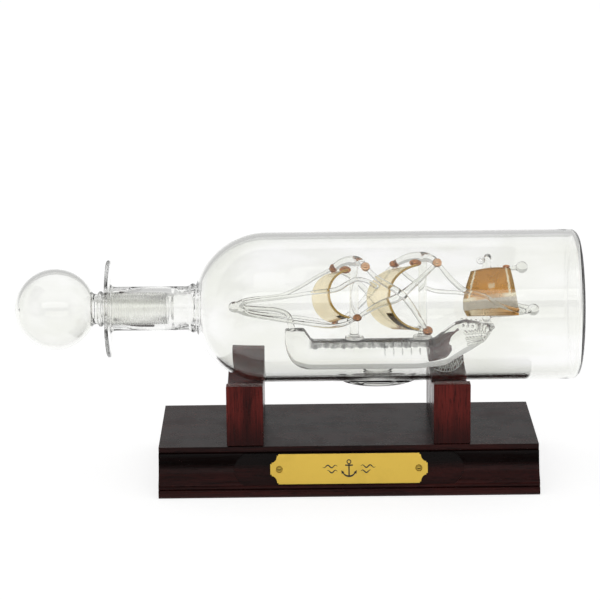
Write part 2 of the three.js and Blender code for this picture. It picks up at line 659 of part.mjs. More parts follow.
// Each stay is a rod; the number before and after its points is how far its ends stand off.
function addStays(ship) {
  const upperEnd = UPPER_BEAD_RADIUS + GAP + 0.35;
  const lowerEnd = LOWER_BEAD_RADIUS + GAP + 0.35;
  const ballEnd = BALL_END_RADIUS + GAP + 0.25;
  const start = STAY_START_X;
  const stays = {
    bow_stay_upper_port: [0, [
      point(start, -1.7, 2.9), point(-32, -4, 6), point(-15, -7.8, 9.4), point(-4.7, -8.9, 11),
      point(1, -9.2, 14.4), point(5.5, -9.5, 16), point(11, -10, 14.8), point(14.6, -10.4, 12.6)], 0],
    bow_stay_upper_starboard: [0, [
      point(start, 1.7, 2.9), point(-32, 4, 5.2), point(-23.2, 6.5, 8.5), point(-14.7, 8.8, 13.2),
      FORE_UPPER[0]], upperEnd],
    bow_stay_lower_port: [0, [
      point(start, -1.7, -2.6), point(-38, -3.8, -4.8), point(-23, -6.2, -6.6), point(-8, -8.2, -8),
      point(-0.7, -8.8, -6.6), FORE_LOWER[2]], lowerEnd],
    bow_stay_lower_starboard: [0, [
      point(start, 1.7, -2.6), point(-38, 3.8, -5), point(-23, 6.4, -7.4), point(-12, 8.4, -9.8),
      FORE_LOWER[0]], lowerEnd],
    cross_stay_outer_port: [upperEnd, [
      FORE_UPPER[2], point(14.3, -11.5, 17.4), point(26.8, -14.7, 9.7), point(31.8, -14.2, 3.4),
      point(37.3, -11.5, -6), MAIN_LOWER[2]], lowerEnd],
    cross_stay_inner_port: [lowerEnd, [
      FORE_LOWER[2], point(15.8, -10, 3.2), point(24.8, -11, 6.9), point(32.8, -11.2, 13.1),
      MAIN_UPPER[2]], upperEnd],
    cross_stay_outer_starboard: [upperEnd, [
      FORE_UPPER[0], point(3, 13.4, 11.5), point(13, 15.4, 1), point(21, 13.2, -9), MAIN_LOWER[0]], lowerEnd],
    cross_stay_inner_starboard: [lowerEnd, [
      FORE_LOWER[0], point(5, 10.6, -4), point(14, 11.6, 6), MAIN_UPPER[0]], upperEnd],
    after_stay_port: [upperEnd, [
      MAIN_UPPER[2], point(52, -8, 15), point(58.6, -7.4, 9.3), point(70, -7.3, 5.6),
      point(75, -7, 2), point(82, -6.6, -0.6), point(88.6, -4.8, -2.4), BOOM_BALL], ballEnd],
    after_stay_starboard: [upperEnd, [
      MAIN_UPPER[0], point(33, 10.4, 11), point(43, 9, 5.6), point(58, 6.8, 4.4), point(76, 5.2, 1),
      point(88, 2.8, -1.8), BOOM_BALL], ballEnd],
  };
  for (const [name, [startBy, points, endBy]] of Object.entries(stays)) {
    const radius = name.startsWith("cross") ? CROSS_STAY_RADIUS : STAY_RADIUS;
    piece(ship, name, rod(shortened(points, startBy, endBy), radius), "glass");
  }
}

// ---------------------------------------------------------------- assembly

function buildShip() {
  const ship = new THREE.Group();
  addHull(ship);
  addSternGallery(ship);
  addShipFoot(ship);
  addMasts(ship);
  addYards(ship);
  addSails(ship);
  addSpars(ship);
  addBowsprit(ship);
  addStays(ship);
  ship.scale.setScalar(SHIP_SCALE);
  const keelDrop = KEEL_TO_AXIS + KEEL_Z * SHIP_SCALE;
  ship.position.set(BOTTLE_END_X - SHIP_ORIGIN_FROM_END * SHIP_SCALE, 0, -keelDrop);
  return ship;
}

function buildStand() {
  const stand = new THREE.Group();
  addPlinth(stand);
  addCradles(stand);
  addScrews(stand);
  addNameplate(stand);
  return stand;
}

function buildBottle() {
  const bottle = new THREE.Group();
  bottle.position.z = AXIS_Z;
  addBottle(bottle);
  addStopper(bottle);
  bottle.add(buildShip());
  return bottle;
}

const group = new THREE.Group();
group.add(buildStand(), buildBottle());

export default group;
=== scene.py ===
"""Looks for a lampworked glass ship that is fused inside a stoppered glass bottle.

The bottle lies in two mahogany cradles on a moulded plinth with a brass nameplate. The packed model
is the fixed frame: every piece is in metres, in the frame's own axes, with the neck at -X and the
front at -Y. Each operator makes one group of pieces, gives it its finish and hands it to the frame.
"""

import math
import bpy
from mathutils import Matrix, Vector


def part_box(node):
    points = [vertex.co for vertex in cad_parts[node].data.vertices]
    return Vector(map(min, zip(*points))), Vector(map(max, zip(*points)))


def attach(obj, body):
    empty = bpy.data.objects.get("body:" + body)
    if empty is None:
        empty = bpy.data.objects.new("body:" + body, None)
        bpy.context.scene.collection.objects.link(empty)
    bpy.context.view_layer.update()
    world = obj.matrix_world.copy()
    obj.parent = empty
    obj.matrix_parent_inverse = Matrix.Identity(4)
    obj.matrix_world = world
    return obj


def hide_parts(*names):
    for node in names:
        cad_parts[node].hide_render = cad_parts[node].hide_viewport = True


bl_info = {
    "name": "Ship in a Bottle",
    "version": (1, 0, 0),
    "blender": (4, 5, 0),
    "location": "3D View > Sidebar > Ship in a Bottle",
    "description": "Builds a glass ship in a stoppered bottle on a wooden stand",
    "category": "Object",
}

import bmesh
import bpy
from bpy.props import FloatProperty, FloatVectorProperty, IntProperty, PointerProperty
from mathutils import Matrix, Vector

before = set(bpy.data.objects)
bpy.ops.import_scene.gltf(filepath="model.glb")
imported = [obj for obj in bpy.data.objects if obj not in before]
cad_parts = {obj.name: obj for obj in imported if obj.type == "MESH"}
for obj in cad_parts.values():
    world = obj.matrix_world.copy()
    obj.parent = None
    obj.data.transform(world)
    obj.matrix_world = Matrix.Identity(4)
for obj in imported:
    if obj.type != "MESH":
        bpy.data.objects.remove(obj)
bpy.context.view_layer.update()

MM = 0.001
GLASS_IOR = 1.47
BOTTLE_LOW, BOTTLE_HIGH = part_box("bottle")
PLINTH_LOW, PLINTH_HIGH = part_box("plinth")
VALUE, VECTOR, COLOUR = "NodeSocketFloat", "NodeSocketVector", "NodeSocketColor"
GEOMETRY, MATERIAL = "NodeSocketGeometry", "NodeSocketMaterial"


# ---------------------------------------------------------------- settings


def length_setting(name, description, default):
    """A setting that is a length."""
    return FloatProperty(name=name, description=description, default=default, unit="LENGTH")


def colour_setting(name, description, default):
    """A setting that is a colour."""
    return FloatVectorProperty(name=name, description=description, default=default, subtype="COLOR",
                               min=0, max=1)


class StageSettings(bpy.types.PropertyGroup):
    """Floor, lights and camera."""

    floor_size: length_setting("Floor Size", "Side of the square floor", 9.0)
    backdrop: FloatProperty(
        name="Backdrop", description="Brightness behind the object", default=0.6, min=0)
    front_fill: FloatProperty(
        name="Front Fill", description="Brightness of the room on the camera's side", default=0.1, min=0)
    side_walls: FloatProperty(
        name="Side Walls", description="Brightness to the left and right", default=0.82, min=0)
    overhead: FloatProperty(
        name="Overhead", description="Brightness of the ceiling", default=0.8, min=0)
    softbox_power: FloatProperty(
        name="Softbox Power", description="Power of the long softbox above the camera", default=6.2,
        unit="POWER")
    floor_glow: FloatProperty(
        name="Floor Glow", description="Light that the lit floor panel gives", default=0.74, min=0)
    view_height: FloatProperty(
        name="View Elevation", description="Height angle of the camera", default=math.radians(14.4),
        subtype="ANGLE")
    view_distance: length_setting("View Distance", "From the camera to its aim", 1.271)
    view_roll: FloatProperty(
        name="View Roll", description="Turn of the camera about its own axis",
        default=math.radians(-0.64), subtype="ANGLE")
    focal_length: FloatProperty(
        name="Focal Length", description="Lens of the camera in millimetres", default=152.52)


class StandSettings(bpy.types.PropertyGroup):
    """Plinth, cradles, screws and nameplate."""

    plinth_length: length_setting("Plinth Length", "Length of the plinth", PLINTH_HIGH.x - PLINTH_LOW.x)
    plinth_height: length_setting("Plinth Height", "Height of the plinth", PLINTH_HIGH.z)
    top_depth: length_setting("Top Depth", "Depth of the flat top", 72 * MM)
    moulding_reach: length_setting("Moulding Reach", "How far the moulding stands out", 10 * MM)
    edge_round: length_setting("Edge Round", "Rounding of the sanded edges", 0.45 * MM)
    cradle_seat: length_setting("Cradle Seat", "Height of the hollow above the plinth", 23.8 * MM)
    horn_width: length_setting("Horn Width", "Flat end beside the hollow", 6 * MM)
    plate_length: length_setting("Plate Length", "Length of the nameplate", 77.5 * MM)
    plate_thickness: length_setting("Plate Thickness", "Thickness of the nameplate", 0.8 * MM)
    pin_spacing: length_setting("Pin Spacing", "Between the two pins", 68.7 * MM)
    plinth_dark: colour_setting("Plinth Dark", "Dark streaks of the plinth", (0.003, 0.0018, 0.0016))
    plinth_light: colour_setting("Plinth Light", "Red streaks of the plinth", (0.036, 0.0062, 0.0052))
    cradle_dark: colour_setting("Cradle Dark", "Dark streaks of the cradles", (0.03, 0.0035, 0.003))
    cradle_light: colour_setting("Cradle Light", "Red streaks of the cradles", (0.15, 0.017, 0.013))
    brass_colour: colour_setting("Brass", "Colour of the nameplate", (0.78, 0.53, 0.095))


class BottleSettings(bpy.types.PropertyGroup):
    """Bottle and stopper."""

    radius: length_setting("Radius", "Outer radius of the body", (BOTTLE_HIGH.y - BOTTLE_LOW.y) / 2)
    wall: length_setting("Wall", "Thickness of the glass", 2.2 * MM)
    body_length: length_setting("Body Length", "From the shoulder to the closed end", 155.5 * MM)
    corner: length_setting("End Corner", "Rounding of the closed end", 4.5 * MM)
    neck_radius: length_setting("Neck Radius", "Outer radius of the neck", 11 * MM)
    lip_radius: length_setting("Lip Radius", "Radius of the flange at the mouth", 24.4 * MM)
    lip_thickness: length_setting("Lip Thickness", "Thickness of the flange", 1.8 * MM)
    plug_length: length_setting("Plug Length", "Length of the ground plug", 28.5 * MM)
    ball_radius: length_setting("Ball Radius", "Radius of the hollow ball", 20.3 * MM)
    segments: IntProperty(
        name="Segments", description="Faces around the turned glass", default=160, min=16, max=512)
    glass_tint: colour_setting("Glass Tint", "Colour of the clear glass", (0.925, 0.93, 0.9))
    frost_tint: colour_setting("Frost Tint", "Colour of the ground glass", (1.0, 1.0, 0.98))


class ShipSettings(bpy.types.PropertyGroup):
    """The fused ship."""

    voxel: length_setting("Melt Size", "Grain of the fused glass skin", 0.4 * MM)
    hull_voxel: length_setting("Hull Melt Size", "Grain of the hull's skin", 0.42 * MM)
    mast_radius: length_setting("Mast Radius", "Radius of a mast", 2.3 * MM)
    stay_radius: length_setting("Stay Radius", "Radius of a stay", 1.1 * MM)
    yard_radius: length_setting("Yard Radius", "Radius of an upper yard", 2.2 * MM)
    deck_smoke: colour_setting(
        "Deck Smoke", "Colour of the smoky glass under the deck", (0.045, 0.045, 0.043))
    port_count: IntProperty(
        name="Gun Ports", description="Gun ports on each side", default=6, min=1, max=40)
    rib_count: IntProperty(
        name="Stern Ribs", description="Ribs in the crescent under the stern", default=11, min=2, max=60)
    sail_thickness: length_setting("Sail Thickness", "Thickness of a square sail", 0.9 * MM)
    gold_colour: colour_setting("Gold", "Colour of the gold lustre", (1.0, 0.9, 0.67))
    spanker_colour: colour_setting("Spanker Gold", "Red gold of the spanker", (0.74, 0.34, 0.06))
    leech_gold: colour_setting("Leech Gold", "Colour of the thick edges", (0.58, 0.38, 0.11))
    bare_glass: colour_setting("Bare Band", "Milky band of the spanker without gold", (0.95, 0.86, 0.72))
    tan_colour: colour_setting("Tan", "Colour of the pale beads", (0.93, 0.64, 0.4))
    gold_shade: colour_setting("Gold Shade", "Colour of the thick gold", (0.42, 0.23, 0.045))
    copper_colour: colour_setting("Copper", "Colour of the beads", (0.74, 0.3, 0.1))


# ---------------------------------------------------------------- shader helpers


def fill(tree, made, sockets):
    """Sets a node's inputs, or links the ones whose value is another node's output."""
    for name, value in sockets.items():
        if isinstance(value, bpy.types.NodeSocket):
            tree.links.new(value, made.inputs[name])
        else:
            made.inputs[name].default_value = value
    return made


def node(tree, kind, sockets=None, **settings):
    """Adds a node, sets its options, and fills its sockets."""
    made = tree.nodes.new(kind)
    for name, value in settings.items():
        setattr(made, name, value)
    return fill(tree, made, sockets or {})


def maths(tree, operation, first, second=0.5, clamp=False):
    """A Math node's result."""
    made = node(tree, "ShaderNodeMath", {0: first, 1: second}, operation=operation, use_clamp=clamp)
    return made.outputs[0]


def halves(tree, first, second):
    """Half of one value and half of another."""
    return maths(tree, "ADD", maths(tree, "MULTIPLY", first, 0.5), maths(tree, "MULTIPLY", second, 0.5))


def ranged(tree, value, low, high, to_low=0.0, to_high=1.0, kind="SMOOTHSTEP"):
    """A value moved from one range to another."""
    sockets = {"Value": value, "From Min": low, "From Max": high, "To Min": to_low, "To Max": to_high}
    return node(tree, "ShaderNodeMapRange", sockets, interpolation_type=kind).outputs["Result"]


def mixed(tree, factor, first, second, blend="MIX"):
    """Two colours mixed by a factor."""
    sockets = {0: factor, 6: first, 7: second}
    return node(tree, "ShaderNodeMix", sockets, data_type="RGBA", blend_type=blend).outputs[2]


def noise(tree, vector, scale, detail=4.0, roughness=0.55, distortion=0.0):
    """A noise pattern's value."""
    sockets = {"Vector": vector, "Scale": scale, "Detail": detail, "Roughness": roughness,
               "Distortion": distortion}
    return node(tree, "ShaderNodeTexNoise", sockets).outputs["Fac"]


def stretched(tree, vector, scale):
    """A vector scaled by a different amount along each axis."""
    return node(tree, "ShaderNodeMapping", {"Vector": vector, "Scale": scale}).outputs["Vector"]


def rgba(colour):
    return (*colour[:3], 1.0)


def scaled(colour, share):
    """A colour made darker or brighter."""
    return [c * share for c in colour]


def node_group(name, tree_type, inputs, outputs):
    """A node group with its entry and its exit; inputs are (name, socket type, default)."""
    tree = bpy.data.node_groups.new(name, tree_type)
    for label, kind, default in inputs:
        socket = tree.interface.new_socket(label, in_out="INPUT", socket_type=kind)
        if default is not None:
            socket.default_value = default
    for label, kind in outputs:
        tree.interface.new_socket(label, in_out="OUTPUT", socket_type=kind)
    return tree, tree.nodes.new("NodeGroupInput"), tree.nodes.new("NodeGroupOutput")


def pattern_group(name, inputs):
    """A shader group that turns a vector into a colour, a roughness and a height."""
    outputs = [("Color", COLOUR), ("Roughness", VALUE), ("Height", VALUE)]
    return node_group(name, "ShaderNodeTree", [("Vector", VECTOR, None), *inputs], outputs)


def use_group(tree, name, sockets):
    """Places a pattern group in a material and fills its inputs."""
    return node(tree, "ShaderNodeGroup", sockets, node_tree=bpy.data.node_groups[name])


def new_material(name):
    """An empty material with a Principled shader and its own object coordinates."""
    material = bpy.data.materials.new(name)
    material.use_nodes = True
    tree = material.node_tree
    tree.nodes.clear()
    shader = tree.nodes.new("ShaderNodeBsdfPrincipled")
    output = tree.nodes.new("ShaderNodeOutputMaterial")
    tree.links.new(shader.outputs["BSDF"], output.inputs["Surface"])
    place = tree.nodes.new("ShaderNodeTexCoord").outputs["Object"]
    return material, tree, shader, place


def bumped(tree, shader, height, strength, distance):
    """Links a height to the shader's normal through a Bump node."""
    bump = node(tree, "ShaderNodeBump", {"Height": height, "Strength": strength, "Distance": distance})
    tree.links.new(bump.outputs["Normal"], shader.inputs["Normal"])


# ---------------------------------------------------------------- pattern groups


def grain_group():
    """Streaks, pores and figure of mahogany that runs along the vector's first axis."""
    tree, entry, leave = pattern_group(
        "Mahogany Grain", [("Dark", COLOUR, (0, 0, 0, 1)), ("Light", COLOUR, (1, 1, 1, 1))])
    place = entry.outputs["Vector"]
    figure = noise(tree, stretched(tree, place, (9, 70, 70)), 1.0, 5, 0.6, 0.8)
    streak = noise(tree, stretched(tree, place, (22, 620, 620)), 1.0, 4, 0.65, 0.3)
    pores = noise(tree, stretched(tree, place, (160, 2600, 2600)), 1.0, 2, 0.5)
    wear = noise(tree, place, 45.0, 5, 0.7)
    share = maths(tree, "MULTIPLY", ranged(tree, figure, 0.3, 0.7), 0.62)
    share = maths(tree, "ADD", share, maths(tree, "MULTIPLY", ranged(tree, streak, 0.34, 0.68), 0.42), True)
    body = mixed(tree, share, entry.outputs["Dark"], entry.outputs["Light"])
    pitted = ranged(tree, pores, 0.36, 0.46, 0.45, 1.0)
    shade = node(tree, "ShaderNodeCombineColor", {"Red": pitted, "Green": pitted, "Blue": pitted})
    fill(tree, leave, {
        "Color": mixed(tree, 1.0, body, shade.outputs["Color"], "MULTIPLY"),
        "Roughness": ranged(tree, wear, 0.3, 0.75, 0.2, 0.36),
        "Height": halves(tree, pitted, streak)})


def draw_group():
    """Faint lines and waves that drawing a tube leaves along the vector's first axis."""
    tree, entry, leave = pattern_group("Drawn Glass", [("Tint", COLOUR, (1, 1, 1, 1))])
    place = entry.outputs["Vector"]
    lines = noise(tree, stretched(tree, place, (3, 120, 120)), 1.0, 2, 0.5)
    waves = noise(tree, stretched(tree, place, (20, 45, 45)), 1.0, 3, 0.5)
    handled = noise(tree, place, 60.0, 3, 0.6)
    fill(tree, leave, {
        "Color": mixed(tree, ranged(tree, waves, 0.35, 0.7), entry.outputs["Tint"], (1, 1, 1, 1)),
        "Roughness": ranged(tree, handled, 0.5, 0.8, 0.0, 0.02),
        "Height": halves(tree, lines, waves)})


def metal_group():
    """Fine brushing along the vector's first axis, with a little tarnish."""
    tree, entry, leave = pattern_group("Brushed Metal", [
        ("Metal", COLOUR, (1, 1, 1, 1)), ("Tarnish", COLOUR, (0, 0, 0, 1)), ("Polish", VALUE, 0.2)])
    place = entry.outputs["Vector"]
    brush = noise(tree, stretched(tree, place, (90, 5200, 5200)), 1.0, 2, 0.5)
    cloud = noise(tree, place, 90.0, 5, 0.65)
    spots = ranged(tree, noise(tree, place, 700.0, 3, 0.6), 0.68, 0.78)
    dirt = maths(tree, "ADD", ranged(tree, cloud, 0.45, 0.8, 0.0, 0.12), maths(tree, "MULTIPLY", spots, 0.3))
    rough = maths(tree, "ADD", entry.outputs["Polish"], ranged(tree, brush, 0.3, 0.7, -0.05, 0.07))
    fill(tree, leave, {
        "Color": mixed(tree, dirt, entry.outputs["Metal"], entry.outputs["Tarnish"]),
        "Roughness": maths(tree, "ADD", rough, maths(tree, "MULTIPLY", dirt, 0.2), True),
        "Height": brush})


# ---------------------------------------------------------------- materials


def mahogany(name, dark, light, turn, foot_shade=(0.0, 0.0), hollow=None):
    """Lacquered mahogany; turn brings the grain onto the piece's long axis; the next two heights bound
    painted shade that darkens the wood toward its foot, and hollow, where given, holds the heights of the
    moulding's cove, which is darkened with painted shade instead."""
    material, tree, shader, place = new_material(name)
    along = node(tree, "ShaderNodeMapping", {"Vector": place, "Rotation": turn}).outputs["Vector"]
    grain = use_group(tree, "Mahogany Grain", {"Vector": along, "Dark": rgba(dark), "Light": rgba(light)})
    level = node(tree, "ShaderNodeSeparateXYZ", {"Vector": place}).outputs["Z"]
    # painted shade: the wood is darker toward its foot, below the given heights
    painted_shade = ranged(tree, level, foot_shade[0], foot_shade[1] + 1e-5, 0.86, 0.0)
    # painted shade: the moulding's cove, between the hollow's two heights, is darkened in place of the foot
    if hollow:
        low, high = hollow
        rising = ranged(tree, level, low - 0.004, low + 0.002, 0.0, 0.9)
        painted_shade = maths(tree, "MULTIPLY", rising, ranged(tree, level, high - 0.0006, high, 1.0, 0.0))
    fill(tree, shader, {
        "Base Color": mixed(tree, painted_shade, grain.outputs["Color"], rgba(scaled(dark, 0.3))),
        "Roughness": grain.outputs["Roughness"],
        "IOR": 1.17, "Coat Weight": 0.05, "Coat Roughness": 0.12, "Coat IOR": 1.4})
    bumped(tree, shader, grain.outputs["Height"], 0.22, 0.0002)
    return material


def clear_glass(name, tint, strength):
    """Clear borosilicate glass with faint drawing lines."""
    material, tree, shader, place = new_material(name)
    drawn = use_group(tree, "Drawn Glass", {"Vector": place, "Tint": rgba(tint)})
    fill(tree, shader, {"Base Color": drawn.outputs["Color"], "Roughness": drawn.outputs["Roughness"],
                        "Transmission Weight": 1.0, "IOR": GLASS_IOR})
    bumped(tree, shader, drawn.outputs["Height"], strength, 0.0004)
    return material


def hull_glass(name, tint, smoke, deck, ends):
    """Clear glass with a smoky, ragged band under the deck, between two places along X."""
    material, tree, shader, place = new_material(name)
    drawn = use_group(tree, "Drawn Glass", {"Vector": place, "Tint": rgba(tint)})
    parts = node(tree, "ShaderNodeSeparateXYZ", {"Vector": place})
    ragged = noise(tree, stretched(tree, place, (260, 260, 90)), 1.0, 4, 0.6)
    height = maths(tree, "ADD", parts.outputs["Z"], ranged(tree, ragged, 0.3, 0.7, -0.0005, 0.0005))
    band = ranged(tree, height, deck - 0.0036, deck - 0.0030)
    start = ranged(tree, parts.outputs["X"], ends[0], ends[0] + 0.002)
    stop = ranged(tree, parts.outputs["X"], ends[1] - 0.002, ends[1], 1.0, 0.0)
    under = ranged(tree, parts.outputs["Z"], deck + 0.0004, deck + 0.0012, 1.0, 0.0)
    band = maths(tree, "MULTIPLY", maths(tree, "MULTIPLY", band, under), maths(tree, "MULTIPLY", start, stop))
    band = maths(tree, "MULTIPLY", band, ranged(tree, ragged, 0.3, 0.62, 0.7, 1.0))
    fill(tree, shader, {"Base Color": mixed(tree, band, drawn.outputs["Color"], rgba(smoke)),
                        "Roughness": drawn.outputs["Roughness"],
                        "Transmission Weight": 1.0, "IOR": GLASS_IOR})
    bumped(tree, shader, drawn.outputs["Height"], 0.12, 0.0004)
    return material


def ground_glass(name, tint):
    """Glass ground with fine grit around the turning axis."""
    material, tree, shader, place = new_material(name)
    grit = noise(tree, place, 4200.0, 2, 0.6)
    rings = noise(tree, stretched(tree, place, (1400, 60, 60)), 1.0, 3, 0.6)
    rubbed = noise(tree, place, 160.0, 4, 0.6)
    shade = ranged(tree, rubbed, 0.35, 0.7)
    fill(tree, shader, {"Base Color": mixed(tree, shade, rgba(tint), rgba(scaled(tint, 0.93))),
                        "Roughness": ranged(tree, rings, 0.3, 0.7, 0.24, 0.3),
                        "Transmission Weight": 1.0, "IOR": GLASS_IOR})
    bumped(tree, shader, halves(tree, grit, rings), 0.06, 0.00004)
    return material


def worked_metal(name, metal, tarnish, polish, turn=(0, 0, 0), strength=0.12):
    """Brushed metal with a little tarnish."""
    material, tree, shader, place = new_material(name)
    along = node(tree, "ShaderNodeMapping", {"Vector": place, "Rotation": turn}).outputs["Vector"]
    brushed = use_group(tree, "Brushed Metal", {"Vector": along, "Metal": rgba(metal),
                                                "Tarnish": rgba(tarnish), "Polish": polish})
    fill(tree, shader, {"Base Color": brushed.outputs["Color"], "Roughness": brushed.outputs["Roughness"],
                        "Metallic": 1.0})
    bumped(tree, shader, brushed.outputs["Height"], strength, 0.00004)
    return material


def gold_lustre(name, bright, shade, edge_width):
    """Thin fired gold, thick and dark down its near edge; the UV runs across the piece and up it."""
    material, tree, shader, place = new_material(name)
    layout = node(tree, "ShaderNodeSeparateXYZ", {"Vector": tree.nodes["Texture Coordinate"].outputs["UV"]})
    across, up = layout.outputs["X"], layout.outputs["Y"]
    off = maths(tree, "SUBTRACT", 0.5, across)
    ragged = noise(tree, place, 900.0, 4, 0.65)
    border = maths(tree, "ADD", off, ranged(tree, ragged, 0.3, 0.7, -0.015, 0.015))
    border = ranged(tree, border, 0.5 - edge_width, 0.5 - edge_width * 0.6)
    foot = ranged(tree, up, 0.08, 0.03, 0.0, 1.0)
    thick = maths(tree, "MAXIMUM", border, foot)
    cloud = noise(tree, place, 240.0, 5, 0.6)
    thin = ranged(tree, cloud, 0.45, 0.72, 0.0, 0.08)
    amount = maths(tree, "MAXIMUM", maths(tree, "MULTIPLY", thick, 0.85), thin)
    fill(tree, shader, {
        "Base Color": mixed(tree, amount, rgba(bright), rgba(shade)),
        "Roughness": maths(tree, "ADD", ranged(tree, cloud, 0.3, 0.7, 0.16, 0.26),
                           maths(tree, "MULTIPLY", thick, 0.2)),
        "Metallic": 0.05, "Transmission Weight": 0.95, "IOR": 1.12})
    grit = maths(tree, "MULTIPLY", ragged, maths(tree, "ADD", maths(tree, "MULTIPLY", thick, 0.9), 0.1))
    bumped(tree, shader, grit, 0.5, 0.0001)
    return material


def banded_gold(name, red, bright, shade, bare):
    """A sheet with a red gold field, bright lines, a painted highlight, a milky band without gold and a gold
    foot.
    """
    material, tree, shader, place = new_material(name)
    layout = node(tree, "ShaderNodeSeparateXYZ", {"Vector": tree.nodes["Texture Coordinate"].outputs["UV"]})
    ragged = noise(tree, place, 800.0, 4, 0.65)
    cloud = noise(tree, place, 160.0, 4, 0.6)
    wobble = ranged(tree, ragged, 0.3, 0.7, -0.01, 0.01)
    across = layout.outputs["X"]
    up = maths(tree, "ADD", layout.outputs["Y"], wobble)
    off = maths(tree, "ADD", maths(tree, "ABSOLUTE", maths(tree, "SUBTRACT", across, 0.5), 0.0), wobble)

    def stripe(value, low, high, soft=0.012):
        return maths(tree, "MULTIPLY", ranged(tree, value, low - soft, low + soft),
                     ranged(tree, value, high - soft, high + soft, 1.0, 0.0))

    field = ranged(tree, maths(tree, "ADD", up, ranged(tree, cloud, 0.3, 0.7, -0.1, 0.1)), 0.55, 1.0)
    body = mixed(tree, field, rgba(red), rgba(scaled(red, 0.72)))
    body = mixed(tree, stripe(off, 0.37, 0.41), body, rgba(bright))
    body = mixed(tree, ranged(tree, off, 0.42, 0.44), body, rgba(shade))
    # painted highlight: a bright patch of gold high in the middle of the sheet
    painted_highlight = maths(tree, "MULTIPLY", stripe(up, 0.64, 0.72), stripe(across, 0.47, 0.6))
    body = mixed(tree, maths(tree, "MULTIPLY", painted_highlight, 0.55), body, rgba(bright))
    line = maths(tree, "MULTIPLY", stripe(up, 0.46, 0.53), ranged(tree, off, 0.2, 0.34, 0.35, 1.0))
    body = mixed(tree, line, body, rgba(bright))
    milky = stripe(up, 0.22, 0.46)
    body = mixed(tree, milky, body, rgba(bare))
    foot = ranged(tree, up, 0.2, 0.23, 1.0, 0.0)
    body = mixed(tree, foot, body, mixed(tree, across, rgba(bright), rgba(red)))
    rim = maths(tree, "MAXIMUM", ranged(tree, up, 0.0, 0.035, 1.0, 0.0),
                maths(tree, "MULTIPLY", foot, ranged(tree, across, 0.06, 0.12, 1.0, 0.0)))
    body = mixed(tree, maths(tree, "MULTIPLY", rim, 0.8), body, rgba(shade))
    fill(tree, shader, {"Base Color": body, "Metallic": ranged(tree, milky, 0.0, 1.0, 0.7, 0.1),
                        "Roughness": ranged(tree, cloud, 0.3, 0.7, 0.2, 0.32),
                        "Coat Weight": 0.08, "Coat Roughness": 0.04})
    grit = maths(tree, "MULTIPLY", ragged, 0.25)
    relief = maths(tree, "SUBTRACT", grit, maths(tree, "MULTIPLY", milky, 0.6))
    bumped(tree, shader, relief, 0.5, 0.0002)
    return material


def copper_bead(name, copper, core):
    """A melted bead with a darker core showing through swirls."""
    material, tree, shader, place = new_material(name)
    swirl = noise(tree, place, 420.0, 4, 0.6, 1.6)
    fine = noise(tree, place, 2200.0, 3, 0.6)
    fill(tree, shader, {
        "Base Color": mixed(tree, ranged(tree, swirl, 0.35, 0.68), rgba(copper), rgba(core)),
        "Roughness": ranged(tree, fine, 0.3, 0.7, 0.1, 0.3),
        "Metallic": 0.85, "Coat Weight": 0.8, "Coat Roughness": 0.03})
    bumped(tree, shader, swirl, 0.4, 0.0002)
    return material


def enamel(name, colour):
    """Mottled enamel, for the plate's engraving and the hull's ribs; on the ribs its pale colour is a painted
    highlight, standing in for the glints of clear glass.
    """
    material, tree, shader, place = new_material(name)
    mottled = noise(tree, place, 1500.0, 4, 0.6)
    lighter = rgba([c * 2.4 + 0.004 for c in colour])
    fill(tree, shader, {
        "Base Color": mixed(tree, ranged(tree, mottled, 0.35, 0.7), rgba(colour), lighter),
        "Roughness": ranged(tree, mottled, 0.3, 0.7, 0.25, 0.5)})
    bumped(tree, shader, mottled, 0.2, 0.00005)
    return material


def pale_floor(name, glow):
    """Matt white light panel with the faintest mottling."""
    material, tree, shader, place = new_material(name)
    mottled = noise(tree, place, 3.0, 4, 0.5)
    apart = node(tree, "ShaderNodeSeparateXYZ", {"Vector": place})
    sideways = maths(tree, "ABSOLUTE", apart.outputs["X"], 0.0)
    lit = maths(tree, "MULTIPLY", ranged(tree, apart.outputs["Y"], -0.75, -0.25, 0.25, 1.0),
                ranged(tree, sideways, 0.45, 0.8, 1.0, 0.6))
    fill(tree, shader, {
        "Base Color": mixed(tree, mottled, (0.4, 0.4, 0.4, 1), (0.41, 0.41, 0.408, 1)),
        "Emission Color": mixed(tree, lit, (0, 0, 0, 1), (1, 1, 1, 1)),
        "Emission Strength": glow, "Roughness": 0.85, "Specular IOR Level": 0.1})
    return material


# ---------------------------------------------------------------- mesh helpers


def new_piece(name, mesh, material=None):
    """An object at the origin that holds a mesh or a bmesh."""
    if isinstance(mesh, bmesh.types.BMesh):
        data = bpy.data.meshes.new(name)
        mesh.to_mesh(data)
        mesh.free()
    else:
        data = mesh
    data.name = name
    piece = bpy.data.objects.new(name, data)
    bpy.context.scene.collection.objects.link(piece)
    if material:
        data.materials.clear()
        data.materials.append(material)
    return piece


def baked(piece):
    """Turns a piece's modifiers into plain mesh."""
    bpy.context.view_layer.update()
    graph = bpy.context.evaluated_depsgraph_get()
    data = bpy.data.meshes.new_from_object(piece.evaluated_get(graph), depsgraph=graph)
    piece.modifiers.clear()
    piece.data = data
    data.name = piece.name
    return piece


def softened(piece, angle):
    """Smooth shading that keeps the sharp edges."""
    piece.data.shade_smooth()
    if angle < 180:
        piece.data.set_sharp_from_angle(angle=math.radians(angle))
    return piece


def settle(piece, body, slot, *nodes):
    """Hands a finished piece to the frame."""
    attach(piece, body)
    if nodes:
        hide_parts(*nodes)
    return piece


def bezier2(start, pull, end, steps):
    """Points of a quadratic curve after its start."""
    points = []
    for i in range(1, steps + 1):
        t = i / steps
        points.append(tuple((1 - t) ** 2 * a + 2 * t * (1 - t) * b + t * t * c
                            for a, b, c in zip(start, pull, end)))
    return points


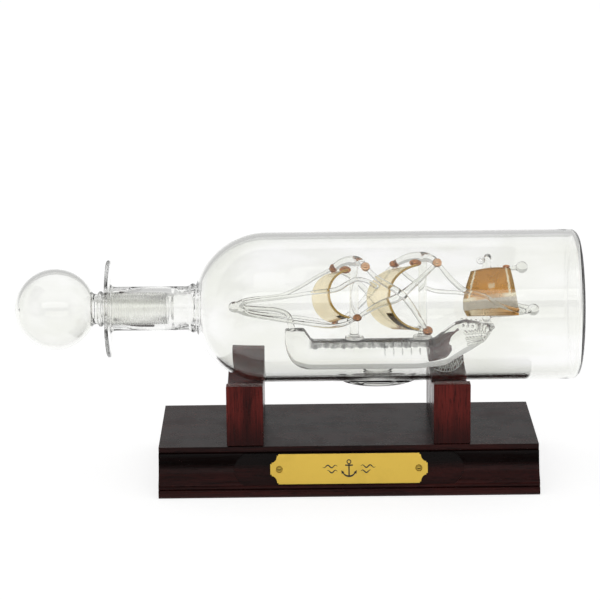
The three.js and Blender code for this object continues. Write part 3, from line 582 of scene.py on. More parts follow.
def join_rings(bm, rings):
    """Faces between neighbouring rings that have the same number of vertices."""
    for first, second in zip(rings, rings[1:]):
        for k in range(len(first)):
            n = (k + 1) % len(first)
            bm.faces.new((first[k], first[n], second[n], second[k]))


def cap_rings(bm, rings):
    """Closes a row of rings at both ends."""
    bm.faces.new(list(reversed(rings[0])))
    bm.faces.new(rings[-1])


def drill(matrix, depth, low_radius, high_radius, sides=32):
    """A round cutter along its matrix's own Z."""
    hole = bmesh.new()
    bmesh.ops.create_cone(hole, cap_ends=True, segments=sides, radius1=low_radius, radius2=high_radius,
                          depth=depth, matrix=matrix)
    return new_piece("hole", hole)


def bevelled(piece, width, segments, angle):
    """Rounds the edges that are sharper than an angle in degrees."""
    bevel = piece.modifiers.new("Edge", "BEVEL")
    bevel.width = width
    bevel.segments = segments
    bevel.limit_method = "ANGLE"
    bevel.angle_limit = math.radians(angle)
    return baked(piece)


def arc(centre_along, centre_radius, radius, start, end, steps):
    """Points of an arc in a turned piece's profile."""
    angles = [start + (end - start) * i / steps for i in range(steps + 1)]
    return [(centre_along + radius * math.cos(a), centre_radius + radius * math.sin(a)) for a in angles]


def turned(profile, segments, closed=False, axis_z=0.0):
    """A profile of (along X, radius) turned around the X axis; poles are closed."""
    bm = bmesh.new()
    rings = []
    for along, radius in profile:
        if radius < 1e-7:
            rings.append([bm.verts.new((along, 0, axis_z))])
            continue
        ring = []
        for k in range(segments):
            angle = 2 * math.pi * k / segments
            ring.append(bm.verts.new((along, radius * math.sin(angle), axis_z - radius * math.cos(angle))))
        rings.append(ring)
    pairs = list(zip(rings, rings[1:]))
    if closed:
        pairs.append((rings[-1], rings[0]))
    for first, second in pairs:
        for k in range(segments):
            n = (k + 1) % segments
            if len(first) == 1 and len(second) == 1:
                continue
            if len(first) == 1:
                bm.faces.new((first[0], second[n], second[k]))
            elif len(second) == 1:
                bm.faces.new((first[k], first[n], second[0]))
            else:
                bm.faces.new((first[k], first[n], second[n], second[k]))
    bmesh.ops.recalc_face_normals(bm, faces=bm.faces)
    return bm


def extruded(outline, place, depth):
    """An outline of (a, b) pairs extruded by depth; place(a, b, c) gives each corner."""
    bm = bmesh.new()
    first = [bm.verts.new(place(a, b, 0.0)) for a, b in outline]
    second = [bm.verts.new(place(a, b, depth)) for a, b in outline]
    bm.faces.new(first)
    bm.faces.new(list(reversed(second)))
    for i in range(len(outline)):
        n = (i + 1) % len(outline)
        bm.faces.new((first[i], second[i], second[n], first[n]))
    bmesh.ops.recalc_face_normals(bm, faces=bm.faces)
    return bm


def smooth_path(points, steps):
    """Points of a centripetal curve through control points; a fourth number rides along."""
    ends = [points[0] * 2 - points[1], *points, points[-1] * 2 - points[-2]]
    out = []
    for i in range(1, len(ends) - 2):
        p0, p1, p2, p3 = ends[i - 1:i + 3]
        t0 = 0.0
        t1 = t0 + math.sqrt((p1 - p0).xyz.length) + 1e-9
        t2 = t1 + math.sqrt((p2 - p1).xyz.length) + 1e-9
        t3 = t2 + math.sqrt((p3 - p2).xyz.length) + 1e-9
        for s in range(steps):
            t = t1 + (t2 - t1) * s / steps
            a1 = p0.lerp(p1, (t - t0) / (t1 - t0))
            a2 = p1.lerp(p2, (t - t1) / (t2 - t1))
            a3 = p2.lerp(p3, (t - t2) / (t3 - t2))
            b1 = a1.lerp(a2, (t - t0) / (t2 - t0))
            b2 = a2.lerp(a3, (t - t1) / (t3 - t1))
            out.append(b1.lerp(b2, (t - t1) / (t2 - t1)))
    out.append(points[-1].copy())
    return out


def add_rod(bm, points, radii, sides=14, steps=7):
    """Adds a closed round rod through points, with a radius at each point and domed ends."""
    radii = radii if isinstance(radii, (list, tuple)) else [radii] * len(points)
    control = [Vector((p.x, p.y, p.z, r)) for p, r in zip(points, radii)]
    path = smooth_path(control, steps)
    centres = [p.xyz for p in path]
    directions = []
    for i in range(len(centres)):
        ahead = centres[min(i + 1, len(centres) - 1)]
        behind = centres[max(i - 1, 0)]
        directions.append((ahead - behind).normalized())
    side = directions[0].orthogonal().normalized()
    sections = []
    first, last = directions[0], directions[-1]
    for angle in (75, 50, 25):
        a = math.radians(angle)
        sections.append((centres[0] - first * path[0].w * math.sin(a), first, path[0].w * math.cos(a)))
    sections += [(c, d, p.w) for c, d, p in zip(centres, directions, path)]
    for angle in (25, 50, 75):
        a = math.radians(angle)
        sections.append((centres[-1] + last * path[-1].w * math.sin(a), last, path[-1].w * math.cos(a)))
    rings = []
    for centre, direction, radius in sections:
        side = (side - direction * side.dot(direction)).normalized()
        other = direction.cross(side)
        ring = []
        for k in range(sides):
            angle = 2 * math.pi * k / sides
            offset = side * math.cos(angle) + other * math.sin(angle)
            ring.append(bm.verts.new(centre + offset * radius))
        rings.append(ring)
    join_rings(bm, rings)
    start = bm.verts.new(centres[0] - first * path[0].w)
    end = bm.verts.new(centres[-1] + last * path[-1].w)
    for k in range(sides):
        n = (k + 1) % sides
        bm.faces.new((start, rings[0][n], rings[0][k]))
        bm.faces.new((end, rings[-1][k], rings[-1][n]))


def add_ball(bm, centre, radius, stretch=(1, 1, 1)):
    """Adds a ball, or an egg if it is stretched."""
    matrix = Matrix.Translation(centre) @ Matrix.Diagonal((*stretch, 1))
    bmesh.ops.create_uvsphere(bm, u_segments=28, v_segments=14, radius=radius, matrix=matrix)


def fused(name, bm, voxel, passes, material):
    """One melted skin around every closed shape in bm."""
    bmesh.ops.recalc_face_normals(bm, faces=bm.faces)
    piece = new_piece(name, bm)
    melt = piece.modifiers.new("Melt", "REMESH")
    melt.mode = "VOXEL"
    melt.voxel_size = voxel
    flow = piece.modifiers.new("Flow", "SMOOTH")
    flow.factor = 0.5
    flow.iterations = passes
    baked(piece)
    piece.data.materials.clear()
    piece.data.materials.append(material)
    return softened(piece, 180)


def carved(piece, cutters, width, segments):
    """Cuts pieces out of another, then rounds its edges."""
    for cutter in cutters:
        cut = piece.modifiers.new("Cut", "BOOLEAN")
        cut.operation = "DIFFERENCE"
        cut.solver = "EXACT"
        cut.object = cutter
    baked(piece)
    for cutter in cutters:
        bpy.data.objects.remove(cutter, do_unlink=True)
    softened(bevelled(piece, width, segments, 38), 40)
    level = piece.modifiers.new("Level", "WEIGHTED_NORMAL")
    level.mode = "FACE_AREA"
    level.weight = 100
    level.keep_sharp = True
    return baked(piece)


# ---------------------------------------------------------------- geometry node trees


def geometry_tree(name, inputs):
    """A geometry tree that takes a shape, named inputs and a material, and gives a shape."""
    inputs = [("Geometry", GEOMETRY, None), *inputs, ("Material", MATERIAL, None)]
    return node_group(name, "GeometryNodeTree", inputs, [("Geometry", GEOMETRY)])


def end_tree(tree, entry, leave, instances):
    """Every tree ends the same way: plain mesh, with its material."""
    real = node(tree, "GeometryNodeRealizeInstances", {"Geometry": instances}).outputs["Geometry"]
    done = node(tree, "GeometryNodeSetMaterial", {"Geometry": real, "Material": entry.outputs["Material"]})
    tree.links.new(done.outputs["Geometry"], leave.inputs["Geometry"])
    return tree


def grown(piece, tree, values):
    """Runs a geometry tree on a piece with the given inputs, and keeps its mesh."""
    modifier = piece.modifiers.new(tree.name, "NODES")
    modifier.node_group = tree
    for item in tree.interface.items_tree:
        if item.item_type == "SOCKET" and item.in_out == "INPUT" and item.name in values:
            modifier[item.identifier] = values[item.name]
    return baked(piece)


def screw_tree():
    """Countersunk screws with a crossed slot, one on each point, pointing up."""
    tree, entry, leave = geometry_tree("Screws", [
        ("Head Radius", VALUE, 3.8 * MM), ("Shank Radius", VALUE, 1.9 * MM), ("Length", VALUE, 0.037),
        ("Slot", VALUE, 1.0 * MM), ("Sides", "NodeSocketInt", 32)])
    values = entry.outputs
    flat = 0.8 * MM
    rim = node(tree, "GeometryNodeMeshCylinder",
               {"Vertices": values["Sides"], "Radius": values["Head Radius"], "Depth": flat})
    rim = node(tree, "GeometryNodeTransform",
               {"Geometry": rim.outputs["Mesh"], "Translation": (0, 0, flat / 2)})
    cone = node(tree, "GeometryNodeMeshCone",
                {"Vertices": values["Sides"], "Radius Top": values["Shank Radius"],
                 "Radius Bottom": values["Head Radius"], "Depth": 1.9 * MM})
    cone = node(tree, "GeometryNodeTransform",
                {"Geometry": cone.outputs["Mesh"], "Translation": (0, 0, flat)})
    shank = node(tree, "GeometryNodeMeshCone",
                 {"Vertices": values["Sides"], "Radius Top": 0.5 * MM,
                  "Radius Bottom": values["Shank Radius"],
                  "Depth": maths(tree, "SUBTRACT", values["Length"], 2.7 * MM)})
    shank = node(tree, "GeometryNodeTransform",
                 {"Geometry": shank.outputs["Mesh"], "Translation": (0, 0, 2.7 * MM)})
    long_way = node(tree, "ShaderNodeCombineXYZ", {"X": 5 * MM, "Y": values["Slot"], "Z": 2.4 * MM})
    short_way = node(tree, "ShaderNodeCombineXYZ", {"X": values["Slot"], "Y": 5 * MM, "Z": 2.4 * MM})
    bar_a = node(tree, "GeometryNodeMeshCube", {"Size": long_way.outputs["Vector"]})
    bar_b = node(tree, "GeometryNodeMeshCube", {"Size": short_way.outputs["Vector"]})
    whole = node(tree, "GeometryNodeMeshBoolean", operation="UNION")
    for part in (rim, cone):
        tree.links.new(part.outputs["Geometry"], whole.inputs["Mesh 2"])
    slotted = node(tree, "GeometryNodeMeshBoolean", {"Mesh 1": whole.outputs["Mesh"]}, operation="DIFFERENCE")
    tree.links.new(bar_a.outputs["Mesh"], slotted.inputs["Mesh 2"])
    tree.links.new(bar_b.outputs["Mesh"], slotted.inputs["Mesh 2"])
    joined = tree.nodes.new("GeometryNodeJoinGeometry")
    for part in (shank.outputs["Geometry"], slotted.outputs["Mesh"]):
        tree.links.new(part, joined.inputs["Geometry"])
    placed = node(tree, "GeometryNodeInstanceOnPoints",
                  {"Points": values["Geometry"], "Instance": joined.outputs["Geometry"]})
    return end_tree(tree, entry, leave, placed.outputs["Instances"])


def pin_tree():
    """Pins with a domed head, one on each point, whose shank runs down their own axis."""
    tree, entry, leave = geometry_tree("Domed Pins", [
        ("Head Radius", VALUE, 1.7 * MM), ("Dome", VALUE, 0.95 * MM), ("Shank Radius", VALUE, 0.6 * MM),
        ("Length", VALUE, 7 * MM), ("Lean", VECTOR, (0, 0, 0))])
    values = entry.outputs
    dome = node(tree, "GeometryNodeMeshUVSphere", {"Segments": 40, "Rings": 24, "Radius": 1.0})
    size = node(tree, "ShaderNodeCombineXYZ",
                {"X": values["Head Radius"], "Y": values["Head Radius"], "Z": values["Dome"]})
    dome = node(tree, "GeometryNodeTransform",
                {"Geometry": dome.outputs["Mesh"], "Scale": size.outputs["Vector"]})
    shank = node(tree, "GeometryNodeMeshCylinder",
                 {"Vertices": 20, "Radius": values["Shank Radius"], "Depth": values["Length"]})
    down = maths(tree, "MULTIPLY", values["Length"], -0.5)
    drop = node(tree, "ShaderNodeCombineXYZ", {"Z": down})
    shank = node(tree, "GeometryNodeTransform",
                 {"Geometry": shank.outputs["Mesh"], "Translation": drop.outputs["Vector"]})
    cap = node(tree, "GeometryNodeMeshBoolean", operation="UNION")
    tree.links.new(dome.outputs["Geometry"], cap.inputs["Mesh 2"])
    tree.links.new(shank.outputs["Geometry"], cap.inputs["Mesh 2"])
    placed = node(tree, "GeometryNodeInstanceOnPoints",
                  {"Points": values["Geometry"], "Instance": cap.outputs["Mesh"], "Rotation": values["Lean"]})
    return end_tree(tree, entry, leave, placed.outputs["Instances"])


def rib_tree():
    """Egg-shaped ribs spaced evenly along a path and turned to follow it."""
    tree, entry, leave = geometry_tree("Ribs", [
        ("Count", "NodeSocketInt", 8), ("Size", VECTOR, (0.5 * MM, 2 * MM, 0.5 * MM))])
    values = entry.outputs
    path = node(tree, "GeometryNodeMeshToCurve", {"Mesh": values["Geometry"]}).outputs["Curve"]
    even = node(tree, "GeometryNodeResampleCurve", {"Curve": path, "Count": values["Count"]})
    heading = tree.nodes.new("GeometryNodeInputTangent").outputs["Tangent"]
    turn = node(tree, "FunctionNodeAlignRotationToVector", {"Vector": heading}, axis="X")
    egg = node(tree, "GeometryNodeMeshUVSphere", {"Segments": 12, "Rings": 8, "Radius": 1.0})
    egg = node(tree, "GeometryNodeTransform", {"Geometry": egg.outputs["Mesh"], "Scale": values["Size"]})
    placed = node(tree, "GeometryNodeInstanceOnPoints",
                  {"Points": even.outputs["Curve"], "Instance": egg.outputs["Geometry"],
                   "Rotation": turn.outputs["Rotation"]})
    return end_tree(tree, entry, leave, placed.outputs["Instances"])


def seed_piece(name, points, edges=()):
    """A piece that is only points, or a line through them, for a tree to grow on."""
    data = bpy.data.meshes.new(name)
    data.from_pydata([tuple(p) for p in points], edges, [])
    return new_piece(name, data)


def add_drops(bm, tree, ends, count, size, finish):
    """Adds a row of egg-shaped drops between two ends, grown by the tree of ribs."""
    row = grown(seed_piece("row", ends, [(0, 1)]), tree, {"Count": count, "Size": size, "Material": finish})
    bm.from_mesh(row.data)
    bpy.data.objects.remove(row, do_unlink=True)


# ---------------------------------------------------------------- stage


def world_light(settings):
    """A white room that is brighter behind and above than on the camera's side."""
    world = bpy.data.worlds.new("Studio")
    bpy.context.scene.world = world
    world.use_nodes = True
    tree = world.node_tree
    tree.nodes.clear()
    way = tree.nodes.new("ShaderNodeTexCoord").outputs["Generated"]
    parts = node(tree, "ShaderNodeSeparateXYZ", {"Vector": way})
    level = ranged(tree, parts.outputs["Y"], -0.2, 0.75, settings.front_fill, settings.backdrop)
    sideways = maths(tree, "ABSOLUTE", parts.outputs["X"], 0.0)
    to_side = ranged(tree, sideways, 0.55, 0.9)
    level = ranged(tree, to_side, 0.0, 1.0, level, settings.side_walls, kind="LINEAR")
    above = ranged(tree, parts.outputs["Z"], 0.45, 0.85)
    level = ranged(tree, above, 0.0, 1.0, level, settings.overhead, kind="LINEAR")
    light = node(tree, "ShaderNodeBackground", {"Color": (1, 1, 1, 1), "Strength": level})
    output = tree.nodes.new("ShaderNodeOutputWorld")
    tree.links.new(light.outputs["Background"], output.inputs["Surface"])


def area_light(name, place, aim, size, power):
    """A rectangular softbox that faces a point."""
    data = bpy.data.lights.new(name, "AREA")
    data.shape = "RECTANGLE"
    data.size, data.size_y = size
    data.energy = power
    lamp = bpy.data.objects.new(name, data)
    bpy.context.scene.collection.objects.link(lamp)
    lamp.location = place
    lamp.rotation_mode = "QUATERNION"
    lamp.rotation_quaternion = (Vector(aim) - Vector(place)).to_track_quat("-Z", "Y")
    return lamp


def add_camera(settings):
    """The camera looks level along the object's front from a little above."""
    data = bpy.data.cameras.new("Camera")
    data.lens = settings.focal_length
    data.sensor_width = 36
    data.clip_start, data.clip_end = 0.01, 40
    camera = bpy.data.objects.new("Camera", data)
    bpy.context.scene.collection.objects.link(camera)
    e, roll = settings.view_height, settings.view_roll
    aim = Vector((-0.0232, 0, 0.0884))
    forward = Vector((0, math.cos(e), -math.sin(e)))
    up = Vector((0, math.sin(e), math.cos(e)))
    right = Vector((1, 0, 0))
    turned_right = right * math.cos(roll) + up * math.sin(roll)
    turned_up = up * math.cos(roll) - right * math.sin(roll)
    place = Matrix((turned_right, turned_up, -forward)).transposed().to_4x4()
    place.translation = aim - forward * settings.view_distance
    camera.matrix_world = place
    bpy.context.scene.camera = camera


class SHIPBOTTLE_OT_stage(bpy.types.Operator):
    """Make the floor, the lights and the camera"""

    bl_idname = "shipbottle.stage"
    bl_label = "Stage"

    def execute(self, context):
        settings = context.scene.shipbottle_stage
        scene = context.scene
        scene.view_settings.view_transform = "Standard"
        scene.cycles.use_denoising = True
        scene.cycles.max_bounces = 28
        scene.cycles.transmission_bounces = 28
        scene.cycles.glossy_bounces = 10
        scene.cycles.diffuse_bounces = 4
        world_light(settings)
        middle = (0, 0, 0.08)
        area_light("Front Softbox", (0, -1.45, 0.88), middle, (2.6, 0.5), settings.softbox_power)
        bm = bmesh.new()
        bmesh.ops.create_grid(bm, x_segments=12, y_segments=12, size=settings.floor_size / 2)
        floor = new_piece("studio_floor", bm, pale_floor("Pale Floor", settings.floor_glow))
        add_camera(settings)
        return {"FINISHED"}


# ---------------------------------------------------------------- stand


def moulding_side(settings):
    """One side of the plinth's section, from the top edge down to the underside, as (Y, Z)."""
    height = settings.plinth_height
    top = settings.top_depth / 2
    outer = top + settings.moulding_reach
    shoulder = height - 3 * MM
    strip = 4 * MM
    points = [(top, height), (top, shoulder), (top + 1.6 * MM, shoulder)]
    start = (top + 1.6 * MM, shoulder - 0.7 * MM)
    points.append(start)
    cove_end = (outer - 2.6 * MM, strip + 3.6 * MM)
    points += bezier2(start, (top + 2.9 * MM, strip + 6.5 * MM), cove_end, 14)
    lip_end = (outer - 1 * MM, strip + 0.6 * MM)
    points += bezier2(cove_end, (outer - 1 * MM, strip + 3 * MM), lip_end, 8)
    points += [(outer - 1.8 * MM, strip + 0.6 * MM), (outer - 1.8 * MM, strip), (outer - 1 * MM, strip)]
    points += bezier2((outer - 1 * MM, strip), (outer, strip), (outer, strip - 1.4 * MM), 6)
    points += [(outer, 1 * MM), (outer - 0.8 * MM, 0)]
    return points


def facet_frame(settings):
    """The frame of the flat facet under the plate: X along it, Y up it, Z out of the wood."""
    outer = settings.top_depth / 2 + settings.moulding_reach
    foot = Vector((0, -(outer - 4 * MM), 4.9 * MM))
    top = Vector((0, -(settings.top_depth / 2 + 0.3 * MM), settings.plinth_height - 3.4 * MM))
    rise = top - foot
    tilt = math.atan2(rise.z, rise.y)
    place = Matrix.Translation(foot + rise / 2) @ Matrix.Rotation(tilt, 4, "X")
    return place, rise.length, tilt


def screw_places():
    """The underside place of each screw in the frame."""
    places = []
    for i in range(1, 5):
        low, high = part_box(f"cradle_screw_{i}")
        places.append(((low.x + high.x) / 2, (low.y + high.y) / 2, low.z, high.z))
    return places


class SHIPBOTTLE_OT_plinth(bpy.types.Operator):
    """Make the moulded plinth with its facet and screw holes"""

    bl_idname = "shipbottle.plinth"
    bl_label = "Plinth"

    def execute(self, context):
        settings = context.scene.shipbottle_stand
        side = moulding_side(settings)
        outline = side + [(-y, z) for y, z in reversed(side)]
        start = -settings.plinth_length / 2
        middle = (PLINTH_LOW.x + PLINTH_HIGH.x) / 2
        bm = extruded(outline, lambda y, z, d: (middle + start + d, y, z), settings.plinth_length)
        # the plinth's cove is darkened with painted shade
        finish = mahogany("Plinth Mahogany", settings.plinth_dark, settings.plinth_light, (0, 0, 0),
                          hollow=(0.014, PLINTH_HIGH.z - 0.0025))
        plinth = new_piece("plinth_wood", bm, finish)
        place, height, _tilt = facet_frame(settings)
        half, length, bow = height / 2, settings.plate_length / 2 + 13 * MM, 5 * MM
        slab = [(-length, -half), (length, -half)]
        slab += bezier2((length, -half), (length + 2 * bow, 0), (length, half), 16)
        slab.append((-length, half))
        slab += bezier2((-length, half), (-length - 2 * bow, 0), (-length, -half), 16)[:-1]
        cutter = extruded(slab, lambda a, b, d: place @ Vector((a, b, d)), settings.moulding_reach)
        cutters = [new_piece("facet", cutter)]
        for x, y, _low, _high in screw_places():
            centre = Matrix.Translation((x, y, PLINTH_HIGH.z / 2))
            cutters.append(drill(centre, PLINTH_HIGH.z + 1 * MM, 4.1 * MM, 2.2 * MM, 40))
        carved(plinth, cutters, settings.edge_round, 3)
        settle(plinth, "stand", "mahogany", "plinth")
        return {"FINISHED"}


class SHIPBOTTLE_OT_cradles(bpy.types.Operator):
    """Make the two cradles with their hollows"""

    bl_idname = "shipbottle.cradles"
    bl_label = "Cradles"

    def execute(self, context):
        settings = context.scene.shipbottle_stand
        # the cradles are darkened toward their feet with painted shade
        finish = mahogany("Cradle Mahogany", settings.cradle_dark, settings.cradle_light,
                          (0, math.radians(90), 0), (PLINTH_HIGH.z, PLINTH_HIGH.z + 0.024))
        for name in ("left_cradle", "right_cradle"):
            low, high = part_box(name)
            half_depth = high.y
            half_chord = half_depth - settings.horn_width
            seat = settings.plinth_height + settings.cradle_seat
            depth = high.z - seat
            radius = (half_chord ** 2 + depth ** 2) / (2 * depth)
            half = math.asin(half_chord / radius)
            outline = [(-half_depth, low.z), (half_depth, low.z), (half_depth, high.z)]
            for i in range(49):
                angle = half - 2 * half * i / 48
                outline.append((radius * math.sin(angle), seat + radius - radius * math.cos(angle)))
            outline.append((-half_depth, high.z))
            bm = extruded(outline, lambda y, z, d, x=low.x: (x + d, y, z), high.x - low.x)
            cradle = new_piece(f"{name}_wood", bm, finish)
            cutters = []
            for x, y, _low, top in screw_places():
                if low.x < x < high.x:
                    centre = Matrix.Translation((x, y, (low.z + top) / 2))
                    cutters.append(drill(centre, top - low.z + 1 * MM, 2.2 * MM, 2.2 * MM))
            carved(cradle, cutters, settings.edge_round, 3)
            settle(cradle, "stand", "mahogany", name)
        return {"FINISHED"}


class SHIPBOTTLE_OT_screws(bpy.types.Operator):
    """Make the four screws that hold the cradles"""

    bl_idname = "shipbottle.screws"
    bl_label = "Screws"

    def execute(self, context):
        places = screw_places()
        finish = worked_metal("Screw Steel", (0.56, 0.56, 0.55), (0.16, 0.14, 0.12), 0.28,
                              (math.radians(90), 0, 0))
        screws = seed_piece("cradle_screws", [(x, y, low) for x, y, low, _high in places])
        grown(screws, screw_tree(), {"Length": places[0][3] - places[0][2], "Material": finish})
        softened(screws, 30)
        nodes = [f"cradle_screw_{i}" for i in range(1, 5)]
        settle(screws, "stand", "steel", *nodes)
        return {"FINISHED"}


def plate_outline(settings, height):
    """A rectangle whose corners are cut by a quarter circle and a small step."""
    step, notch, half_tab = 0.7 * MM, 2.6 * MM, 2.6 * MM
    half, length = height / 2, settings.plate_length / 2
    quarter = [(length, half_tab), (length - step, half_tab), (length - step, half_tab + step)]
    reach = half - half_tab - 2 * step
    for i in range(1, 15):
        angle = math.pi / 2 * i / 14
        quarter.append((length - step - notch * math.sin(angle),
                        half_tab + step + reach * (1 - math.cos(angle))))
    quarter += [(length - 2 * step - notch, half - step), (length - 2 * step - notch, half)]
    top = quarter + [(-x, y) for x, y in reversed(quarter)]
    return top + [(x, -y) for x, y in reversed(top)]


def ribbon(bm, points, width, place, lift, thick):
    """Adds a flat strip along (a, b) points on the facet, with a width at each point."""
    widths = width if isinstance(width, (list, tuple)) else [width] * len(points)
    sides = []
    for i, (a, b) in enumerate(points):
        ahead = points[min(i + 1, len(points) - 1)]
        behind = points[max(i - 1, 0)]
        way = Vector((ahead[0] - behind[0], ahead[1] - behind[1])).normalized()
        across = Vector((-way.y, way.x)) * widths[i] / 2
        row = []
        for sign, level in ((1, lift), (-1, lift), (-1, lift + thick), (1, lift + thick)):
            corner = Vector((a + sign * across.x, b + sign * across.y, level))
            row.append(bm.verts.new(place @ corner))
        sides.append(row)
    join_rings(bm, sides)
    bm.faces.new(sides[0])
    bm.faces.new(list(reversed(sides[-1])))


def add_anchor(bm, place, lift, thick):
    """A small anchor between two pairs of waves."""
    line = 0.55 * MM
    place = place @ Matrix.Diagonal((1.25, 1.25, 1, 1))
    ribbon(bm, [(0, -2.9 * MM), (0, 2.0 * MM)], line, place, lift, thick)
    ribbon(bm, [(-1.5 * MM, 1.35 * MM), (1.5 * MM, 1.35 * MM)], line, place, lift, thick)
    ring = [(0.75 * MM * math.sin(a), 2.7 * MM + 0.75 * MM * math.cos(a))
            for a in [math.pi * 2 * i / 24 for i in range(25)]]
    ribbon(bm, ring, 0.4 * MM, place, lift, thick)
    arms = [(2.7 * MM * math.sin(a), -0.3 * MM - 2.7 * MM * math.cos(a))
            for a in [math.radians(-68 + 136 * i / 24) for i in range(25)]]
    ribbon(bm, arms, [(0.35 + 0.35 * math.sin(math.pi * i / 24)) * MM for i in range(25)], place, lift, thick)
    for side in (-1, 1):
        tip = (side * 3.05 * MM, -0.7 * MM)
        heel = (side * 2.35 * MM, -1.75 * MM)
        ribbon(bm, [tip, heel], [0.1 * MM, 1.3 * MM], place, lift, thick)
        for row, reach in ((0.9 * MM, 10.4), (-1.1 * MM, 8.6)):
            wave = []
            for i in range(49):
                along = 4.6 + (reach - 4.6) * i / 48
                wave.append((side * along * MM, row + 0.5 * MM * math.sin((along - 4.6) * 2.1)))
            widths = [(0.12 + 0.38 * math.sin(math.pi * i / 48)) * MM for i in range(49)]
            ribbon(bm, wave, widths, place, lift, thick)


class SHIPBOTTLE_OT_nameplate(bpy.types.Operator):
    """Make the nameplate, its anchor and its two pins"""

    bl_idname = "shipbottle.nameplate"
    bl_label = "Nameplate"

    def execute(self, context):
        settings = context.scene.shipbottle_stand
        place, height, tilt = facet_frame(settings)
        gap = 0.3 * MM
        plate_height = height - 1.2 * MM
        thickness = settings.plate_thickness
        outline = plate_outline(settings, plate_height)
        bm = extruded(outline, lambda a, b, d: place @ Vector((a, b, gap + d)), thickness)
        tarnish = scaled(settings.brass_colour, 0.35)
        finish = worked_metal("Plate Brass", settings.brass_colour, tarnish, 0.34, strength=0.05)
        plate = new_piece("nameplate_brass", bm, finish)
        holes = []
        for side in (-1, 1):
            spot = place @ Vector((side * settings.pin_spacing / 2, 0, 0))
            matrix = Matrix.Translation(spot) @ Matrix.Rotation(tilt, 4, "X")
            holes.append(drill(matrix, 4 * MM, 0.9 * MM, 0.9 * MM))
        carved(plate, holes, 0.16 * MM, 2)
        settle(plate, "stand", "brass", "nameplate")
        bm = bmesh.new()
        add_anchor(bm, place, gap + thickness - 0.02 * MM, 0.07 * MM)
        bmesh.ops.recalc_face_normals(bm, faces=bm.faces)
        mark = new_piece("nameplate_anchor", bm, enamel("Plate Enamel", (0.006, 0.005, 0.004)))
        settle(mark, "stand", "brass")
        apart, face = settings.pin_spacing / 2, gap * 2 + thickness
        heads = [place @ Vector((side * apart, 0, face)) for side in (-1, 1)]
        pins = seed_piece("nameplate_pins", heads)
        aged = scaled(settings.brass_colour, 0.5)
        pin_finish = worked_metal("Pin Brass", aged, scaled(tarnish, 0.3), 0.16)
        grown(pins, pin_tree(), {"Lean": (tilt, 0, 0), "Material": pin_finish})
        softened(pins, 45)
        settle(pins, "stand", "brass", "nameplate_pin_left", "nameplate_pin_right")
        return {"FINISHED"}


# ---------------------------------------------------------------- bottle and stopper


def bottle_facts(settings):
    """The places along X that the bottle's and the stopper's profiles share."""
    end = BOTTLE_HIGH.x
    shoulder = end - settings.body_length
    weld_radius = 12.8 * MM
    weld = shoulder - math.sqrt(settings.radius ** 2 - weld_radius ** 2)
    lip = BOTTLE_LOW.x
    plug_end = lip + settings.plug_length + 1.5 * MM
    return end, shoulder, weld, weld_radius, lip, plug_end


def plug_radius(settings, x):
    """Radius of the plug's slow taper at a place along it."""
    plug_end = bottle_facts(settings)[5]
    return 7.9 * MM + 0.35 * MM * (plug_end - x) / settings.plug_length


def bottle_profile(settings):
    """The glass wall's section, from the outer pole round to the inner pole."""
    end, shoulder, weld, weld_radius, lip, plug_end = bottle_facts(settings)
    radius, wall, corner = settings.radius, settings.wall, settings.corner
    bore = radius - wall
    quarter = math.pi / 2
    weld_angle = math.pi - math.asin(weld_radius / radius)
    neck_bore = 8.9 * MM
    inner_angle = math.pi - math.asin(neck_bore / bore)
    thick = settings.lip_thickness
    neck = settings.neck_radius
    mouth = plug_radius(settings, lip) + 0.3 * MM
    socket_end = plug_end + 2 * MM
    straight = [(end - corner - (settings.body_length - corner) * i / 78, radius) for i in range(1, 78)]
    inner_straight = [(shoulder + (settings.body_length - corner) * i / 24, bore) for i in range(1, 24)]
    neck_foot = weld - 4 * MM
    profile = [(end, 0), (end, radius * 0.5)]
    profile += arc(end - corner, radius - corner, corner, 0, quarter, 10)
    profile += straight
    profile += arc(shoulder, 0, radius, quarter, weld_angle - 0.03, 36)
    bead = 2.2 * MM
    profile += arc(weld - 2 * MM, weld_radius - bead - 0.5 * MM, bead, math.radians(40), math.radians(140), 8)
    profile += bezier2(profile[-1], (neck_foot - 0.1 * MM, neck), (neck_foot - 2 * MM, neck), 6)
    profile += [(neck_foot - (neck_foot - lip - 8 * MM) * i / 12, neck) for i in range(1, 12)]
    profile += [(lip + thick + 3 * MM, neck)]
    profile += bezier2(profile[-1], (lip + thick, neck), (lip + thick, neck + 2.4 * MM), 8)
    profile += [(lip + thick, settings.lip_radius - 3 * MM)]
    profile += arc(lip + thick / 2, settings.lip_radius - thick / 2, thick / 2, 0, math.pi, 10)
    profile += [(lip, mouth + 0.5 * MM), (lip + 0.3 * MM, mouth)]
    profile += [(socket_end, plug_radius(settings, socket_end) + 0.3 * MM)]
    profile += bezier2(profile[-1], (socket_end + 1 * MM, neck_bore - 0.5 * MM),
                       (socket_end + 2 * MM, neck_bore), 4)
    profile += arc(shoulder, 0, bore, inner_angle, quarter, 34)
    profile += inner_straight
    profile += arc(end - corner, bore - (corner - wall), corner - wall, quarter, 0, 8)
    profile += [(end - wall, radius * 0.5), (end - wall, 0)]
    return profile


